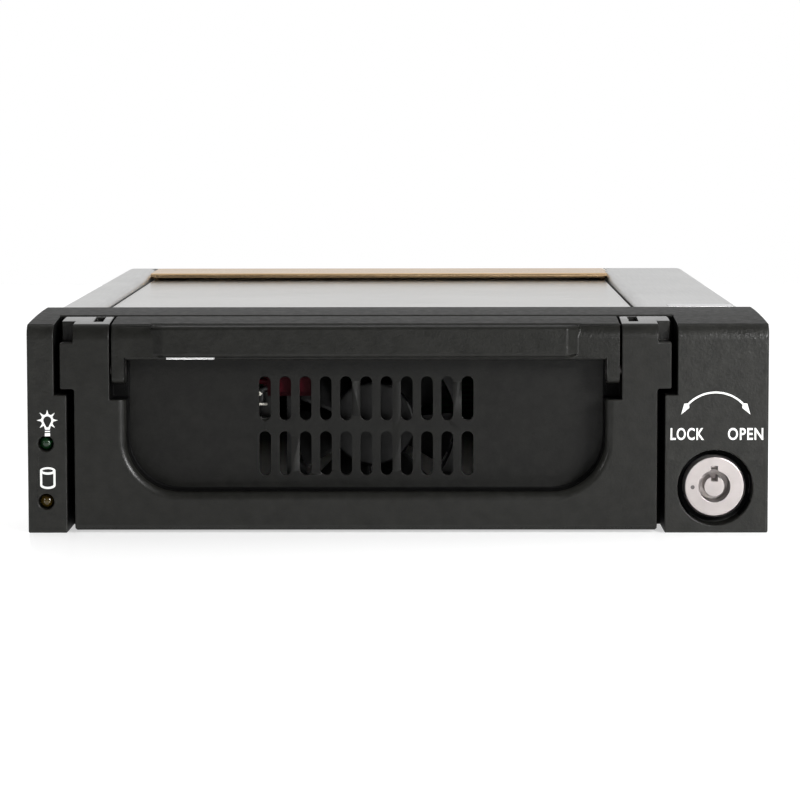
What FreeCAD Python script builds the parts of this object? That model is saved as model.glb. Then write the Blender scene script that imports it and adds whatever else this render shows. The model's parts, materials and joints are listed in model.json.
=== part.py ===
"""A 5.25-inch mobile rack: a cage with a lock and a removable drive tray with a bail handle and a fan.

Millimetres. X runs to the right seen from the front, Y to the rear, Z up. While modelling, Y = 0 is
the bezel's face and Z = 0 the underside; the export moves the origin to the middle of the footprint.
"""
import FreeCAD, Part
import math
import os

V = FreeCAD.Vector

# ---------------------------------------------------------------- clearances
FIT = 0.05  # screw or pin in its hole, shaft in its bearing
SLIDE = 0.3
LOOSE = 0.5
OVER = 1.0  # how far a cutting tool runs past a face
TINY = 1e-6

# ---------------------------------------------------------------- cage body
BODY_W = 146.1  # over the two side rails
BODY_H = 42.7
BODY_D = 205.0  # bezel face to the back of the cage
BASE_T = 1.0
PANEL_T = 1.2
LEFT_RAIL_W = 8.95
RIGHT_RAIL_W = 21.75
RAIL_WALL = 1.2
RAIL_OUTER_ROUND = 2.7
RAIL_INNER_ROUND = 2.0
PORT_R = 2.2
PORT_SINK = 0.5  # how deep a screw port merges into the rail's wall
SCREW_PORT_Z = (BODY_H - 12.2, BODY_H - 4.5)
RUNNER_W = 7.0
RUNNER_T = 1.0
BRIDGE_D = 25.0
BRIDGE_T = 1.2
BRIDGE_TAB_H = 9.0
BRIDGE_TAB_D = 11.0
BODY_LEFT = -BODY_W / 2
BODY_RIGHT = BODY_W / 2
BAY_LEFT = BODY_LEFT + LEFT_RAIL_W
BAY_RIGHT = BODY_RIGHT - RIGHT_RAIL_W
BAY_W = BAY_RIGHT - BAY_LEFT
BAY_X = (BAY_LEFT + BAY_RIGHT) / 2  # middle of the tray bay
RAIL_BACK = BODY_D - PANEL_T

# ---------------------------------------------------------------- standard bay screws (M3)
SIDE_SCREW_Z = (10.0, 21.84)
SCREW_Y = 52.4
SCREW_PITCH_Y = 79.24
BOTTOM_SCREW_INSET = 3.2
BOTTOM_PITCH_X = BODY_W - 2 * BOTTOM_SCREW_INSET
M3_TAP_R = 1.25

# ---------------------------------------------------------------- outer bezel
BEZEL_OVERHANG = 0.95  # past each side of the body
BEZEL_RISE = 0.75  # above the body
BEZEL_W = BODY_W + 2 * BEZEL_OVERHANG
BEZEL_H = BODY_H + BEZEL_RISE
BEZEL_D = 30.0
BEZEL_TAPER = 0.8
CROWN_DROP = 1.6  # the top falls this much from the back to the front edge
CROWN_BULGE = 0.25  # how far the falling top stands above a straight line
BROW_H = 3.15  # the rounded band from the front edge down to the face
BROW_D = 1.5
BEZEL_WALL = 1.5
BEZEL_FACE_T = 2.2
SHOULDER_Y = 14.0  # the tray head closes against this shoulder
CROSS_BAR_T = 2.15
SILL_T = 1.6
GROOVE = 1.2  # gap round the tray head
LOWER_GROOVE = 1.5  # the same beside its narrower part
TONGUE_L = 8.0
TONGUE_T = 2.0
TONGUE_Z = (6.0, SCREW_PORT_Z[0] - PORT_R - 2.8)
TONGUE_SCREW_INSET = 5.0
TONGUE_SCREW_Z = (TONGUE_Z[0] + TONGUE_SCREW_INSET, TONGUE_Z[1] - TONGUE_SCREW_INSET)

# ---------------------------------------------------------------- tray head
HEAD_UPPER_OVERLAP = 3.3  # over each side of the bay
HEAD_LOWER_OVERLAP = 0.5
HEAD_UPPER_W = BAY_W + 2 * HEAD_UPPER_OVERLAP
HEAD_LOWER_W = BAY_W + 2 * HEAD_LOWER_OVERLAP
UPPER_OPENING_W = HEAD_UPPER_W + 2 * GROOVE
LOWER_OPENING_W = HEAD_LOWER_W + 2 * LOWER_GROOVE
HEAD_Z = 0.6
HEAD_TOP = BODY_H - 0.1
HEAD_D = SHOULDER_Y - SLIDE
EAR_H = 13.7
HEAD_STEP_Z = HEAD_TOP - EAR_H
HEAD_CHAMFER = 1.0
HEAD_WALL = 2.4
SHELF_T = 2.5
NOTCH_W = 2.6
NOTCH_H = 4.4
NOTCH_D = 5.0

# ---------------------------------------------------------------- bail handle
EAR_W = 10.3  # each side of the handle
HANDLE_W = HEAD_UPPER_W - 2 * EAR_W
HANDLE_D = 5.5
HANDLE_GAP = 0.4
RECESS_W = HANDLE_W + 2 * HANDLE_GAP
ARM_W = 2.65
BAR_H = 7.85
BAR_Z = HEAD_TOP - BAR_H
PIVOT_Y = 3.4
PIVOT_BELOW_BAR = 2.35
PIVOT_Z = BAR_Z - PIVOT_BELOW_BAR
HEEL_BELOW_PIVOT = 2.4
HEEL_Z = PIVOT_Z - HEEL_BELOW_PIVOT
HEEL_GAP = 3.2
HANDLE_WALL = 1.8
RIB_COUNT = 6
RIB_T = 1.0
GRIP_INSET = 10.5  # from each end of the handle
GRIP_W = HANDLE_W - 2 * GRIP_INSET
GRIP_SLANT = 2.6
GRIP_PROUD = 1.6
GRIP_DROP = 1.1
GRIP_TOP = HEAD_TOP - GRIP_DROP
GRIP_ROUND = 0.8
GRIP_LIFT = 0.55  # from the bar's foot to the grip's
SCOOP_Y = (1.7, 3.0)  # the step down from the handle's top to the grip
PLATE_T = 1.2  # the handle's top plate, which reaches back to the shoulder
PIN_R = 1.0
EAR_SLOT_W = 1.8
EAR_SLOT_Y = (4.6, 12.0)
EAR_SLOT_GAP = 3.0  # from the handle's end to the middle of the slot
EAR_SLOT_X = HANDLE_W / 2 + EAR_SLOT_GAP
EAR_HOLLOW_Z = 4.4

# ---------------------------------------------------------------- tray
RUNNER_TOP = BASE_T + RUNNER_T
TRAY_SHEET = 1.0
PAN_GAP = 1.5  # from the pan's side to the rail
COVER_T = 0.9
COVER_GAP = 0.6  # from the cover up to the rear bridge
COVER_LIP_H = 6.9
COVER_FRONT = 14.2
COVER_SCREW_INSET = (45.8, 40.0)  # from the cover's front and back
PAN_W = BAY_W - 2 * PAN_GAP
PAN_Z = RUNNER_TOP
PAN_FLOOR = PAN_Z + TRAY_SHEET
PAN_FRONT = 10.5
COVER_TOP = BODY_H - BRIDGE_T - COVER_GAP
PAN_TOP = COVER_TOP - COVER_T
COVER_LIP_Z = COVER_TOP - COVER_LIP_H
COVER_SCREW_Z = (COVER_LIP_Z + PAN_TOP) / 2
LUG_W = 5.0
LUG_BACK = 24.0
LUG_H = 7.0
LUG_Z = (PAN_TOP - 20.0, PAN_TOP - 7.0)
LUG_SCREW_Y = 19.0

# ---------------------------------------------------------------- fan
FAN_BELOW = 0.25  # from the pan's floor
FAN_ABOVE = 1.75  # to the cover
FAN_SIZE = PAN_TOP - FAN_ABOVE - PAN_FLOOR - FAN_BELOW
FAN_Z = PAN_FLOOR + FAN_BELOW + FAN_SIZE / 2
FAN_OFFSET = 1.3
FAN_X = BAY_X + FAN_OFFSET
FAN_D = 10.0
FAN_STANDOFF = 2.4
FAN_WALL = 0.7
FAN_BORE_R = FAN_SIZE / 2 - FAN_WALL
FAN_HOLE_INSET = 3.0
FAN_HOLES = FAN_SIZE - 2 * FAN_HOLE_INSET
HUB_R = 8.5
HUB_WALL = 1.0
HUB_FRONT_T = 1.2
BLADE_GAP = 0.6
BLADE_TIP_R = FAN_BORE_R - BLADE_GAP
BLADE_COUNT = 7
BLADE_T = 0.9
BLADE_ROOT_ANGLE = 48.0
BLADE_TIP_ANGLE = 30.0
STRUT_W = 2.2
STRUT_T = 1.4
FAN_SHAFT_R = 1.0

# ---------------------------------------------------------------- finger pocket and vent slots
POCKET_MARGIN = 3.0  # from each end of the handle
POCKET_W = HANDLE_W - 2 * POCKET_MARGIN
POCKET_Z = 8.4
POCKET_D = 8.0
POCKET_R = 10.6
POCKET_TOP_R = 2.0
LIP_R = 1.9
PANEL_WALL = 2.0
POCKET_BACK = POCKET_D + PANEL_WALL
SLOT_W = 2.4
SLOT_H = 9.0
SLOT_PITCH = 4.09
SLOT_COLUMNS = 11
SLOT_ROW_PITCH = 11.15
SLOT_Z = FAN_Z  # middle of the two rows
FAN_FRONT = POCKET_BACK + FAN_STANDOFF
FAN_BACK = FAN_FRONT + FAN_D

# ---------------------------------------------------------------- lock
LOCK_INSET = 9.65  # from the body's right side
LOCK_X = BODY_RIGHT - LOCK_INSET
LOCK_Z = 9.1
LOCK_RECESS_R = 7.55
LOCK_RECESS_D = 5.0
LOCK_FACE_R = 6.25
LOCK_FACE_Y = 2.0
LOCK_BODY_R = 5.6
LOCK_BODY_BACK = 17.8
LOCK_NUT_FLATS = 13.6
LOCK_NUT_T = 3.0
PLUG_R = 3.1
POST_R = 2.03
PLUG_SHOULDER_Y = 7.0
KEYWAY_W = 1.3
KEYWAY_DEPTH = 1.0
TAIL_SIZE = 4.2
CAM_GAP = 0.6
CAM_Y = LOCK_BODY_BACK + CAM_GAP
CAM_T = 1.6
CAM_BACK = CAM_Y + CAM_T
CAM_REACH = 16.0
CAM_W = 6.0
CAM_NUT_T = 2.4
CAM_NUT_FLATS = 5.5

# ---------------------------------------------------------------- lights
LED_INSET = 2.75  # from the body's left side
LED_X = BODY_LEFT + LED_INSET
LED_Z = (6.35, 18.0)
LED_R = 1.5
LED_FLANGE_R = 1.75
LED_FLANGE_T = 1.0
LED_TIP_Y = 0.6
LED_BOARD_Y = 7.0
BOARD_T = 1.6

# ---------------------------------------------------------------- electronics at the back
STANDOFF_L = 5.2
BACKPLANE_Y = RAIL_BACK - STANDOFF_L - BOARD_T
BACKPLANE_SIDE_GAP = 1.7
BACKPLANE_W = BAY_W - 2 * BACKPLANE_SIDE_GAP
BACKPLANE_Z = (3.0, 24.0)
STANDOFF_R = 2.5
SOCKET_D = 6.6
SOCKET_FRONT = BACKPLANE_Y - SOCKET_D
BACKPLANE_GAP = 0.4  # tray's rear wall to the backplane socket
PAN_BACK = SOCKET_FRONT - BACKPLANE_GAP
TRAY_PLUG_D = 7.0
TRAY_PLUG_W = 64.0
TRAY_PLUG_Z = 16.0
TRAY_PLUG_H = 8.0
TONGUE_PLATE_W = 54.0
TONGUE_PLATE_T = 2.0
TONGUE_PLATE_L = 6.5
TRAY_BOARD_Y = PAN_BACK - TRAY_PLUG_D - BOARD_T
TRAY_BOARD_Z = (4.0, 28.0)
TRAY_BOARD_GAP = 1.7
TRAY_BOARD_W = PAN_W - 2 * TRAY_BOARD_GAP
BOARD_TAB_W = 8.0
BOARD_TAB_INSET = 8.5
BOARD_TAB_X = TRAY_BOARD_W / 2 - BOARD_TAB_INSET
BOARD_TAB_TOP = 13.0
BOARD_SCREW_Z = 9.0
AIR_EXIT_W = 92.0
AIR_EXIT_Z = TRAY_BOARD_Z[1] + 1.5
POWER_X = BAY_X - 22.0
POWER_W = 23.0
POWER_H = 11.0
POWER_PROUD = 5.0
DATA_X = BAY_X + 24.0
DATA_W = 14.5
DATA_H = 6.4
DATA_PROUD = 2.5
PORT_Z = 14.0
CABLE_R = 1.1
CABLE_BEND = 3.0
CABLE_DROP = 4.0  # from the rail's cable hole back to the backplane board
CABLE_HOLE_Y = BACKPLANE_Y - CABLE_DROP
CABLE_Z = 18.0

# ---------------------------------------------------------------- the drive's place
DRIVE_PLUG_D = 6.4
DRIVE_PLUG_W = 42.7
DRIVE_PLUG_H = 7.0
DRIVE_PLUG_MOUTH = 4.5
DRIVE_PLUG_GAP = 7.25  # from the middle of the left board tab
DRIVE_PLUG_X = BAY_X - BOARD_TAB_X + DRIVE_PLUG_GAP + DRIVE_PLUG_W / 2
DRIVE_BACK = TRAY_BOARD_Y - DRIVE_PLUG_D
DRIVE_HOLE_INSET = 8.575  # from the pan's side
DRIVE_HOLE_X = PAN_W - 2 * DRIVE_HOLE_INSET
DRIVE_HOLE_Y = 44.45
DRIVE_HOLE_BACK = 41.28  # rear pair of holes to the connector end of the drive
GROMMET_R = 4.0
GROMMET_T = 2.0
M3_CLEAR_R = 1.7


# ---------------------------------------------------------------- shared shapes
def block(x0, x1, y0, y1, z0, z1):
    return Part.makeBox(x1 - x0, y1 - y0, z1 - z0, V(x0, y0, z0))


def rod(radius, start, direction, length):
    return Part.makeCylinder(radius, length, V(*start), V(*direction))


def cone(radius_0, radius_1, start, direction, length):
    return Part.makeCone(radius_0, radius_1, length, V(*start), V(*direction))


def fuse(shapes):
    return shapes[0].multiFuse(shapes[1:]).removeSplitter()


def cut(shape, tools):
    return shape.cut(Part.makeCompound(tools))


def group(solids):
    return Part.makeCompound(solids)


def arc_at(corner, before, after, radius):
    """Start, middle and end of the arc that rounds one corner of a path."""
    arriving = (corner - before).normalize()
    leaving = (after - corner).normalize()
    turn = arriving.getAngle(leaving)
    reach = radius * math.tan(turn / 2)
    bulge = radius * (1 / math.cos(turn / 2) - 1)
    middle = corner + (leaving - arriving).normalize() * bulge
    return corner - arriving * reach, middle, corner + leaving * reach


def rounded_wire(points, radii, closed=True):
    """A wire through the points, each corner rounded by its own radius (0 keeps it sharp)."""
    last = len(points) - 1
    corners = []
    for i, point in enumerate(points):
        is_end = not closed and i in (0, last)
        if is_end or radii[i] == 0:
            corners.append((point, None, point))
        else:
            corners.append(arc_at(point, points[i - 1], points[(i + 1) % len(points)], radii[i]))
    edges = []
    for i, (start, middle, end) in enumerate(corners):
        if middle is not None:
            edges.append(Part.Arc(start, middle, end).toShape())
        if closed or i < last:
            follower = corners[(i + 1) % len(corners)][0]
            if end.distanceToPoint(follower) > TINY:
                edges.append(Part.LineSegment(end, follower).toShape())
    return Part.Wire(edges)


def slab_xz(points, radii, y0, y1):
    wire = rounded_wire([V(x, y0, z) for x, z in points], radii)
    return Part.Face(wire).extrude(V(0, y1 - y0, 0))


def slab_yz(points, radii, x0, x1):
    wire = rounded_wire([V(x0, y, z) for y, z in points], radii)
    return Part.Face(wire).extrude(V(x1 - x0, 0, 0))


def slab_xy(points, radii, z0, z1):
    wire = rounded_wire([V(x, y, z0) for x, y in points], radii)
    return Part.Face(wire).extrude(V(0, 0, z1 - z0))


def oblong(x, z, width, height, y0, y1):
    """An upright slot with round ends."""
    half = height / 2 - width / 2
    ends = [rod(width / 2, (x, y0, z + side * half), (0, 1, 0), y1 - y0) for side in (-1, 1)]
    return fuse([block(x - width / 2, x + width / 2, y0, y1, z - half, z + half)] + ends)


def tube(points, bend, radius):
    """A round cable along straight runs joined by tangent arcs."""
    path = rounded_wire([V(*p) for p in points], [bend] * len(points), closed=False)
    start = V(*points[0])
    heading = V(*points[1]) - start
    profile = Part.Wire([Part.makeCircle(radius, start, heading)])
    return path.makePipeShell([profile], True, False)


def cross_recess(point, direction, size, depth):
    """The cutter for a cross-head driver recess in a screw head that faces along direction."""
    arms = []
    for wide, narrow in ((size, size / 4), (size / 4, size)):
        arm = Part.makeBox(wide, narrow, 2 * depth, V(-wide / 2, -narrow / 2, -depth))
        arms.append(arm)
    tool = fuse(arms)
    tool.Placement = FreeCAD.Placement(V(*point), FreeCAD.Rotation(V(0, 0, 1), V(*direction)))
    return tool


def flat_screw(point, inward, shank_r, length, head_r, head_t):
    """A countersunk screw whose flat head lies at point and whose shank runs inward."""
    head = cone(head_r, shank_r, point, inward, head_t)
    shank = rod(shank_r, point, inward, length)
    outward = tuple(-c for c in inward)
    return cut(fuse([head, shank]), [cross_recess(point, outward, head_r, head_t / 2)])


def flat_screw_hole(point, inward, shank_r, length, head_r, head_t):
    head = cone(head_r + FIT, shank_r + FIT, point, inward, head_t)
    return head.fuse(rod(shank_r + FIT, point, inward, length + FIT))


def pan_screw(point, inward, shank_r, length, head_r, head_t):
    """A screw with a raised head that seats at point."""
    outward = tuple(-c for c in inward)
    head = rod(head_r, point, outward, head_t)
    top = tuple(p + o * head_t for p, o in zip(point, outward))
    shank = rod(shank_r, point, inward, length)
    return cut(fuse([head, shank]), [cross_recess(top, outward, head_r, head_t / 2)])


def bay(offset):
    """X of a place given from the middle of the tray bay."""
    return BAY_X + offset


# ---------------------------------------------------------------- screws that join the cage
BEZEL_SCREW = {"shank_r": 1.25, "length": RAIL_WALL + TONGUE_T - 0.2, "head_r": 2.4, "head_t": RAIL_WALL}


def bezel_screw_places():
    """(point, inward direction) of each screw that holds a bezel tongue in its rail."""
    y = BEZEL_D + TONGUE_L / 2
    places = []
    for x, inward in ((BODY_LEFT, (1, 0, 0)), (BODY_RIGHT, (-1, 0, 0))):
        places += [((x, y, z), inward) for z in TONGUE_SCREW_Z]
    return places


def bezel_screws():
    return group([flat_screw(p, d, **BEZEL_SCREW) for p, d in bezel_screw_places()])


RIVET_R = 1.2
RIVET_HEAD_R = 2.2
RIVET_HEAD_T = 0.7
BASE_RIVET_COUNT = 4
BASE_RIVET_INSET = 12.0


def base_rivet_places():
    """The rivets run up through the base plate into the floor of each rail."""
    first, last = BEZEL_D + BASE_RIVET_INSET, RAIL_BACK - BASE_RIVET_INSET
    step = (last - first) / (BASE_RIVET_COUNT - 1)
    xs = ((BODY_LEFT + BAY_LEFT) / 2, (BODY_RIGHT + BAY_RIGHT) / 2)
    return [(x, first + step * i, 0.0) for x in xs for i in range(BASE_RIVET_COUNT)]


def rivet(point, inward, grip):
    """A flush rivet: a countersunk head at point and a formed tail past the gripped sheets."""
    tail = tuple(p + d * grip for p, d in zip(point, inward))
    return fuse([
        cone(RIVET_HEAD_R, RIVET_R, point, inward, RIVET_HEAD_T),
        rod(RIVET_R, point, inward, grip + RIVET_HEAD_T),
        rod(RIVET_R * 1.5, tail, inward, RIVET_HEAD_T),
    ])


def rivet_hole(point, inward, grip):
    head = cone(RIVET_HEAD_R + FIT, RIVET_R + FIT, point, inward, RIVET_HEAD_T)
    return head.fuse(rod(RIVET_R + FIT, point, inward, grip))


def base_rivets():
    grip = BASE_T + RAIL_WALL
    return group([rivet(p, (0, 0, 1), grip) for p in base_rivet_places()])


def bridge_rivet_places():
    """(point, inward) on the bridge's two end tabs, seen from inside the bay."""
    z = BODY_H - BRIDGE_T - BRIDGE_TAB_H / 2
    back = RAIL_BACK - BRIDGE_TAB_D / 2
    ys = (back - BRIDGE_TAB_D / 4, back + BRIDGE_TAB_D / 4)
    sides = ((BAY_LEFT + BRIDGE_T, (-1, 0, 0)), (BAY_RIGHT - BRIDGE_T, (1, 0, 0)))
    return [((x, y, z), inward) for x, inward in sides for y in ys]


def bridge_rivets():
    grip = BRIDGE_T + RAIL_WALL
    return group([rivet(p, d, grip) for p, d in bridge_rivet_places()])


PANEL_SCREW = {"shank_r": 1.25, "length": 8.0, "head_r": 2.2, "head_t": PANEL_T}


def rail_port_x():
    """X of the screw port inside the left rail and inside the right rail."""
    inset = RAIL_WALL + PORT_R - PORT_SINK
    return BODY_LEFT + inset, BODY_RIGHT - inset


def panel_screw_places():
    return [(x, BODY_D, z) for x in rail_port_x() for z in SCREW_PORT_Z]


def panel_screws():
    return group([flat_screw(p, (0, -1, 0), **PANEL_SCREW) for p in panel_screw_places()])


# ---------------------------------------------------------------- cage
def side_holes(x, inward):
    return [
        rod(M3_TAP_R, (x - inward * OVER, y, z), (inward, 0, 0), RAIL_WALL + 2 * OVER)
        for y in (SCREW_Y, SCREW_Y + SCREW_PITCH_Y)
        for z in SIDE_SCREW_Z
    ]


def bottom_holes():
    depth = BASE_T + RAIL_WALL + 2 * OVER
    return [
        rod(M3_TAP_R, (side * BOTTOM_PITCH_X / 2, y, -OVER), (0, 0, 1), depth)
        for side in (-1, 1)
        for y in (SCREW_Y, SCREW_Y + SCREW_PITCH_Y)
    ]


def rail(outer_x, inner_x, port_x):
    """A closed aluminium extrusion with two screw ports, open at both ends."""
    left, right = sorted((outer_x, inner_x))
    outer_is_left = outer_x < inner_x
    top = (RAIL_OUTER_ROUND, RAIL_INNER_ROUND)
    if outer_is_left:
        top = (RAIL_INNER_ROUND, RAIL_OUTER_ROUND)
    corners = [(left, BASE_T), (right, BASE_T), (right, BODY_H), (left, BODY_H)]
    skin = slab_xz(corners, (0, 0) + top, BEZEL_D, RAIL_BACK)
    w = RAIL_WALL
    x0, x1, z0, z1 = left + w, right - w, BASE_T + w, BODY_H - w
    inner_top = tuple(r - w for r in top)
    inside = [(x0, z0), (x1, z0), (x1, z1), (x0, z1)]
    space = slab_xz(inside, (0, 0) + inner_top, BEZEL_D - OVER, RAIL_BACK + OVER)
    ports = [rod(PORT_R, (port_x, BEZEL_D, z), (0, 1, 0), RAIL_BACK - BEZEL_D) for z in SCREW_PORT_Z]
    bores = [
        rod(PANEL_SCREW["shank_r"] + FIT, (port_x, BEZEL_D - OVER, z), (0, 1, 0), BODY_D)
        for z in SCREW_PORT_Z
    ]
    inward = 1 if outer_is_left else -1
    cable_start = (inner_x - inward * (RAIL_WALL + OVER), CABLE_HOLE_Y, CABLE_Z)
    cable_hole = rod(CABLE_R + LOOSE, cable_start, (inward, 0, 0), RAIL_WALL + 2 * OVER)
    body = cut(skin, [space]).common(skin)
    body = fuse([body] + [p.common(skin) for p in ports])
    tools = bores + side_holes(outer_x, inward) + bottom_holes() + [cable_hole]
    tools += [flat_screw_hole(p, d, **BEZEL_SCREW) for p, d in bezel_screw_places()]
    tools += [rivet_hole(p, (0, 0, 1), BASE_T + RAIL_WALL) for p in base_rivet_places()]
    tools += [rivet_hole(p, d, BRIDGE_T + RAIL_WALL) for p, d in bridge_rivet_places()]
    return cut(body, tools)


def left_side_rail():
    return rail(BODY_LEFT, BAY_LEFT, rail_port_x()[0])


def right_side_rail():
    return rail(BODY_RIGHT, BAY_RIGHT, rail_port_x()[1])


def base_plate():
    plate = block(BODY_LEFT, BODY_RIGHT, BEZEL_D, RAIL_BACK, 0, BASE_T)
    rivets = [rivet_hole(p, (0, 0, 1), BASE_T + RAIL_WALL) for p in base_rivet_places()]
    return cut(plate, bottom_holes() + rivets)


def runner(inner_x, inward):
    left, right = sorted((inner_x, inner_x + inward * RUNNER_W))
    y0, y1 = BEZEL_D, SOCKET_FRONT
    round_end = RUNNER_W / 3
    corners = [(left, y0), (right, y0), (right, y1), (left, y1)]
    return slab_xy(corners, (0, 0, round_end, round_end), BASE_T, BASE_T + RUNNER_T)


def left_runner():
    return runner(BAY_LEFT, 1)


def right_runner():
    return runner(BAY_RIGHT, -1)


def rear_bridge():
    """The strip across the top at the back, with a rolled front edge and two end tabs."""
    front = BODY_D - BRIDGE_D
    edge = BRIDGE_T / 2 - TINY * 100
    under = BODY_H - BRIDGE_T
    corners = [(front, under), (BODY_D, under), (BODY_D, BODY_H), (front, BODY_H)]
    strip = slab_yz(corners, (edge, 0, 0, edge), BAY_LEFT, BAY_RIGHT)
    tab_y = RAIL_BACK - BRIDGE_TAB_D
    tab_z = under - BRIDGE_TAB_H
    tabs = [
        block(BAY_LEFT, BAY_LEFT + BRIDGE_T, tab_y, RAIL_BACK, tab_z, under),
        block(BAY_RIGHT - BRIDGE_T, BAY_RIGHT, tab_y, RAIL_BACK, tab_z, under),
    ]
    rivets = [rivet_hole(p, d, BRIDGE_T + RAIL_WALL) for p, d in bridge_rivet_places()]
    return cut(fuse([strip] + tabs), rivets)


PANEL_VENT_W = 2.0
PANEL_VENT_H = 9.0
PANEL_VENT_PITCH = 4.0
PANEL_VENT_COUNT = 24


def panel_vents(y0, y1, z):
    """A row of upright vent slots across the rear panel."""
    first = -(PANEL_VENT_COUNT - 1) / 2 * PANEL_VENT_PITCH
    xs = [bay(first + i * PANEL_VENT_PITCH) for i in range(PANEL_VENT_COUNT)]
    return [oblong(x, z, PANEL_VENT_W, PANEL_VENT_H, y0, y1) for x in xs]


def rear_panel():
    y0, y1 = RAIL_BACK - OVER, BODY_D + OVER
    bridge_room = block(BAY_LEFT, BAY_RIGHT, y0, y1, BODY_H - BRIDGE_T, BODY_H + OVER)
    windows = []
    for x, width, height in ((POWER_X, POWER_W, POWER_H), (DATA_X, DATA_W, DATA_H)):
        w, h = width / 2 + LOOSE, height / 2 + LOOSE
        windows.append(block(x - w, x + w, y0, y1, PORT_Z - h, PORT_Z + h))
    screws = [flat_screw_hole(p, (0, -1, 0), **PANEL_SCREW) for p in panel_screw_places()]
    corners = [(BODY_LEFT, 0), (BODY_RIGHT, 0), (BODY_RIGHT, BODY_H), (BODY_LEFT, BODY_H)]
    rounds = (0, 0, RAIL_OUTER_ROUND, RAIL_OUTER_ROUND)
    outline = slab_xz(corners, rounds, RAIL_BACK, BODY_D)
    vent_z = BACKPLANE_Z[1] + PANEL_VENT_H / 2 + OVER
    vents = panel_vents(y0, y1, vent_z)
    r, length = STANDOFF_STUD_R + FIT, PANEL_T + 2 * OVER
    studs = [rod(r, (x, y0, z), (0, 1, 0), length) for x, z in standoff_places()]
    return cut(outline, [bridge_room] + windows + screws + vents + studs)


def above_crown():
    """The cutter over the crowned top and the rounded brow that bezel, tray head and handle share."""
    far = 10 * OVER
    edge_z = BEZEL_H - CROWN_DROP
    foot_z = edge_z - BROW_H
    brow_r = (BROW_D**2 + BROW_H**2) / (2 * BROW_D)
    half_turn = math.asin(BROW_H / brow_r) / 2
    back = V(-BEZEL_W, BEZEL_D, BEZEL_H)
    middle = V(-BEZEL_W, (BEZEL_D + BROW_D) / 2, (BEZEL_H + edge_z) / 2 + CROWN_BULGE)
    edge = V(-BEZEL_W, BROW_D, edge_z)
    brow = V(-BEZEL_W, brow_r * (1 - math.cos(half_turn)), foot_z + brow_r * math.sin(half_turn))
    foot = V(-BEZEL_W, 0, foot_z)
    corners = [foot, V(-BEZEL_W, -far, foot_z), V(-BEZEL_W, -far, BEZEL_H + far)]
    corners += [V(-BEZEL_W, BEZEL_D, BEZEL_H + far), back]
    edges = [Part.Arc(back, middle, edge).toShape(), Part.Arc(edge, brow, foot).toShape()]
    edges += [Part.LineSegment(a, b).toShape() for a, b in zip(corners, corners[1:])]
    return Part.Face(Part.Wire(edges)).extrude(V(2 * BEZEL_W, 0, 0))


def bezel_envelope():
    """The bezel's outside: tapered in plan and crowned towards its top front edge."""
    half = BEZEL_W / 2
    back = half - BEZEL_TAPER
    plan = slab_xy([(-half, 0), (half, 0), (back, BEZEL_D), (-back, BEZEL_D)], (0.6, 0.6, 0, 0), 0, BEZEL_H)
    side = [(0, 0), (BEZEL_D, 0), (BEZEL_D, BEZEL_H), (0, BEZEL_H)]
    return plan.common(slab_yz(side, (0.6, 0, 0, 0), -half, half)).cut(above_crown())


def portal_space():
    """The opening of the bezel that the tray head and the tray pass through."""
    upper = UPPER_OPENING_W / 2
    lower = LOWER_OPENING_W / 2
    step = HEAD_STEP_Z - GROOVE
    inner = BAY_W / 2 + FIT
    return [
        block(bay(-upper), bay(upper), -OVER, SHOULDER_Y, step, BEZEL_H + OVER),
        block(bay(-lower), bay(lower), -OVER, SHOULDER_Y, -OVER, step),
        block(bay(-inner), bay(inner), SHOULDER_Y - OVER, BEZEL_D + OVER, SILL_T, BEZEL_H - CROSS_BAR_T),
    ]


def column_wall_x(y):
    """Half the clear width inside the columns, at a depth behind the face."""
    return BEZEL_W / 2 - BEZEL_TAPER * y / BEZEL_D - BEZEL_WALL


def column_cavities():
    """The hollows inside the two columns, open at the back."""
    w = BEZEL_WALL
    shoulder_back = SHOULDER_Y + w
    upper = UPPER_OPENING_W / 2 + w / 2
    lower = LOWER_OPENING_W / 2 + w / 2
    step = HEAD_STEP_Z - GROOVE - w
    inner = BAY_W / 2 + w
    top = BEZEL_H - CROSS_BAR_T
    cavities = []
    for side in (-1, 1):
        for edge, y0, y1, z0, z1 in (
            (bay(side * upper), BEZEL_FACE_T, shoulder_back, SILL_T, top - CROWN_DROP - BROW_H / 2),
            (bay(side * lower), BEZEL_FACE_T, shoulder_back, SILL_T, step),
            (bay(side * inner), shoulder_back, BEZEL_D, SILL_T, top),
        ):
            x0, x1 = sorted((side * column_wall_x(y1), edge))
            cavities.append(block(x0, x1, y0, y1, z0, z1))
    return cavities


def tongues():
    """The plates that plug into the open front ends of the rails."""
    z0, z1 = TONGUE_Z
    root = BEZEL_D - TONGUE_L
    tongue_outer = BODY_W / 2 - RAIL_WALL - FIT
    wall = BEZEL_W / 2 - BEZEL_TAPER - BEZEL_WALL / 2
    plates = []
    for side in (-1, 1):
        x0, x1 = sorted((side * tongue_outer, side * (tongue_outer - TONGUE_T)))
        plates.append(block(x0, x1, root, BEZEL_D + TONGUE_L, z0, z1))
        x0, x1 = sorted((side * wall, side * (tongue_outer - TONGUE_T)))
        plates.append(block(x0, x1, root, BEZEL_D, z0, z1))
    return plates


def lock_wall():
    """The thick wall behind the lock's recess."""
    left = bay(LOWER_OPENING_W / 2)
    right = BEZEL_W / 2 - BEZEL_TAPER
    top = LOCK_Z + LOCK_RECESS_R + BEZEL_WALL
    return block(left, right, BEZEL_FACE_T / 2, LOCK_RECESS_D + PANEL_WALL, 0, top)


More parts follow.
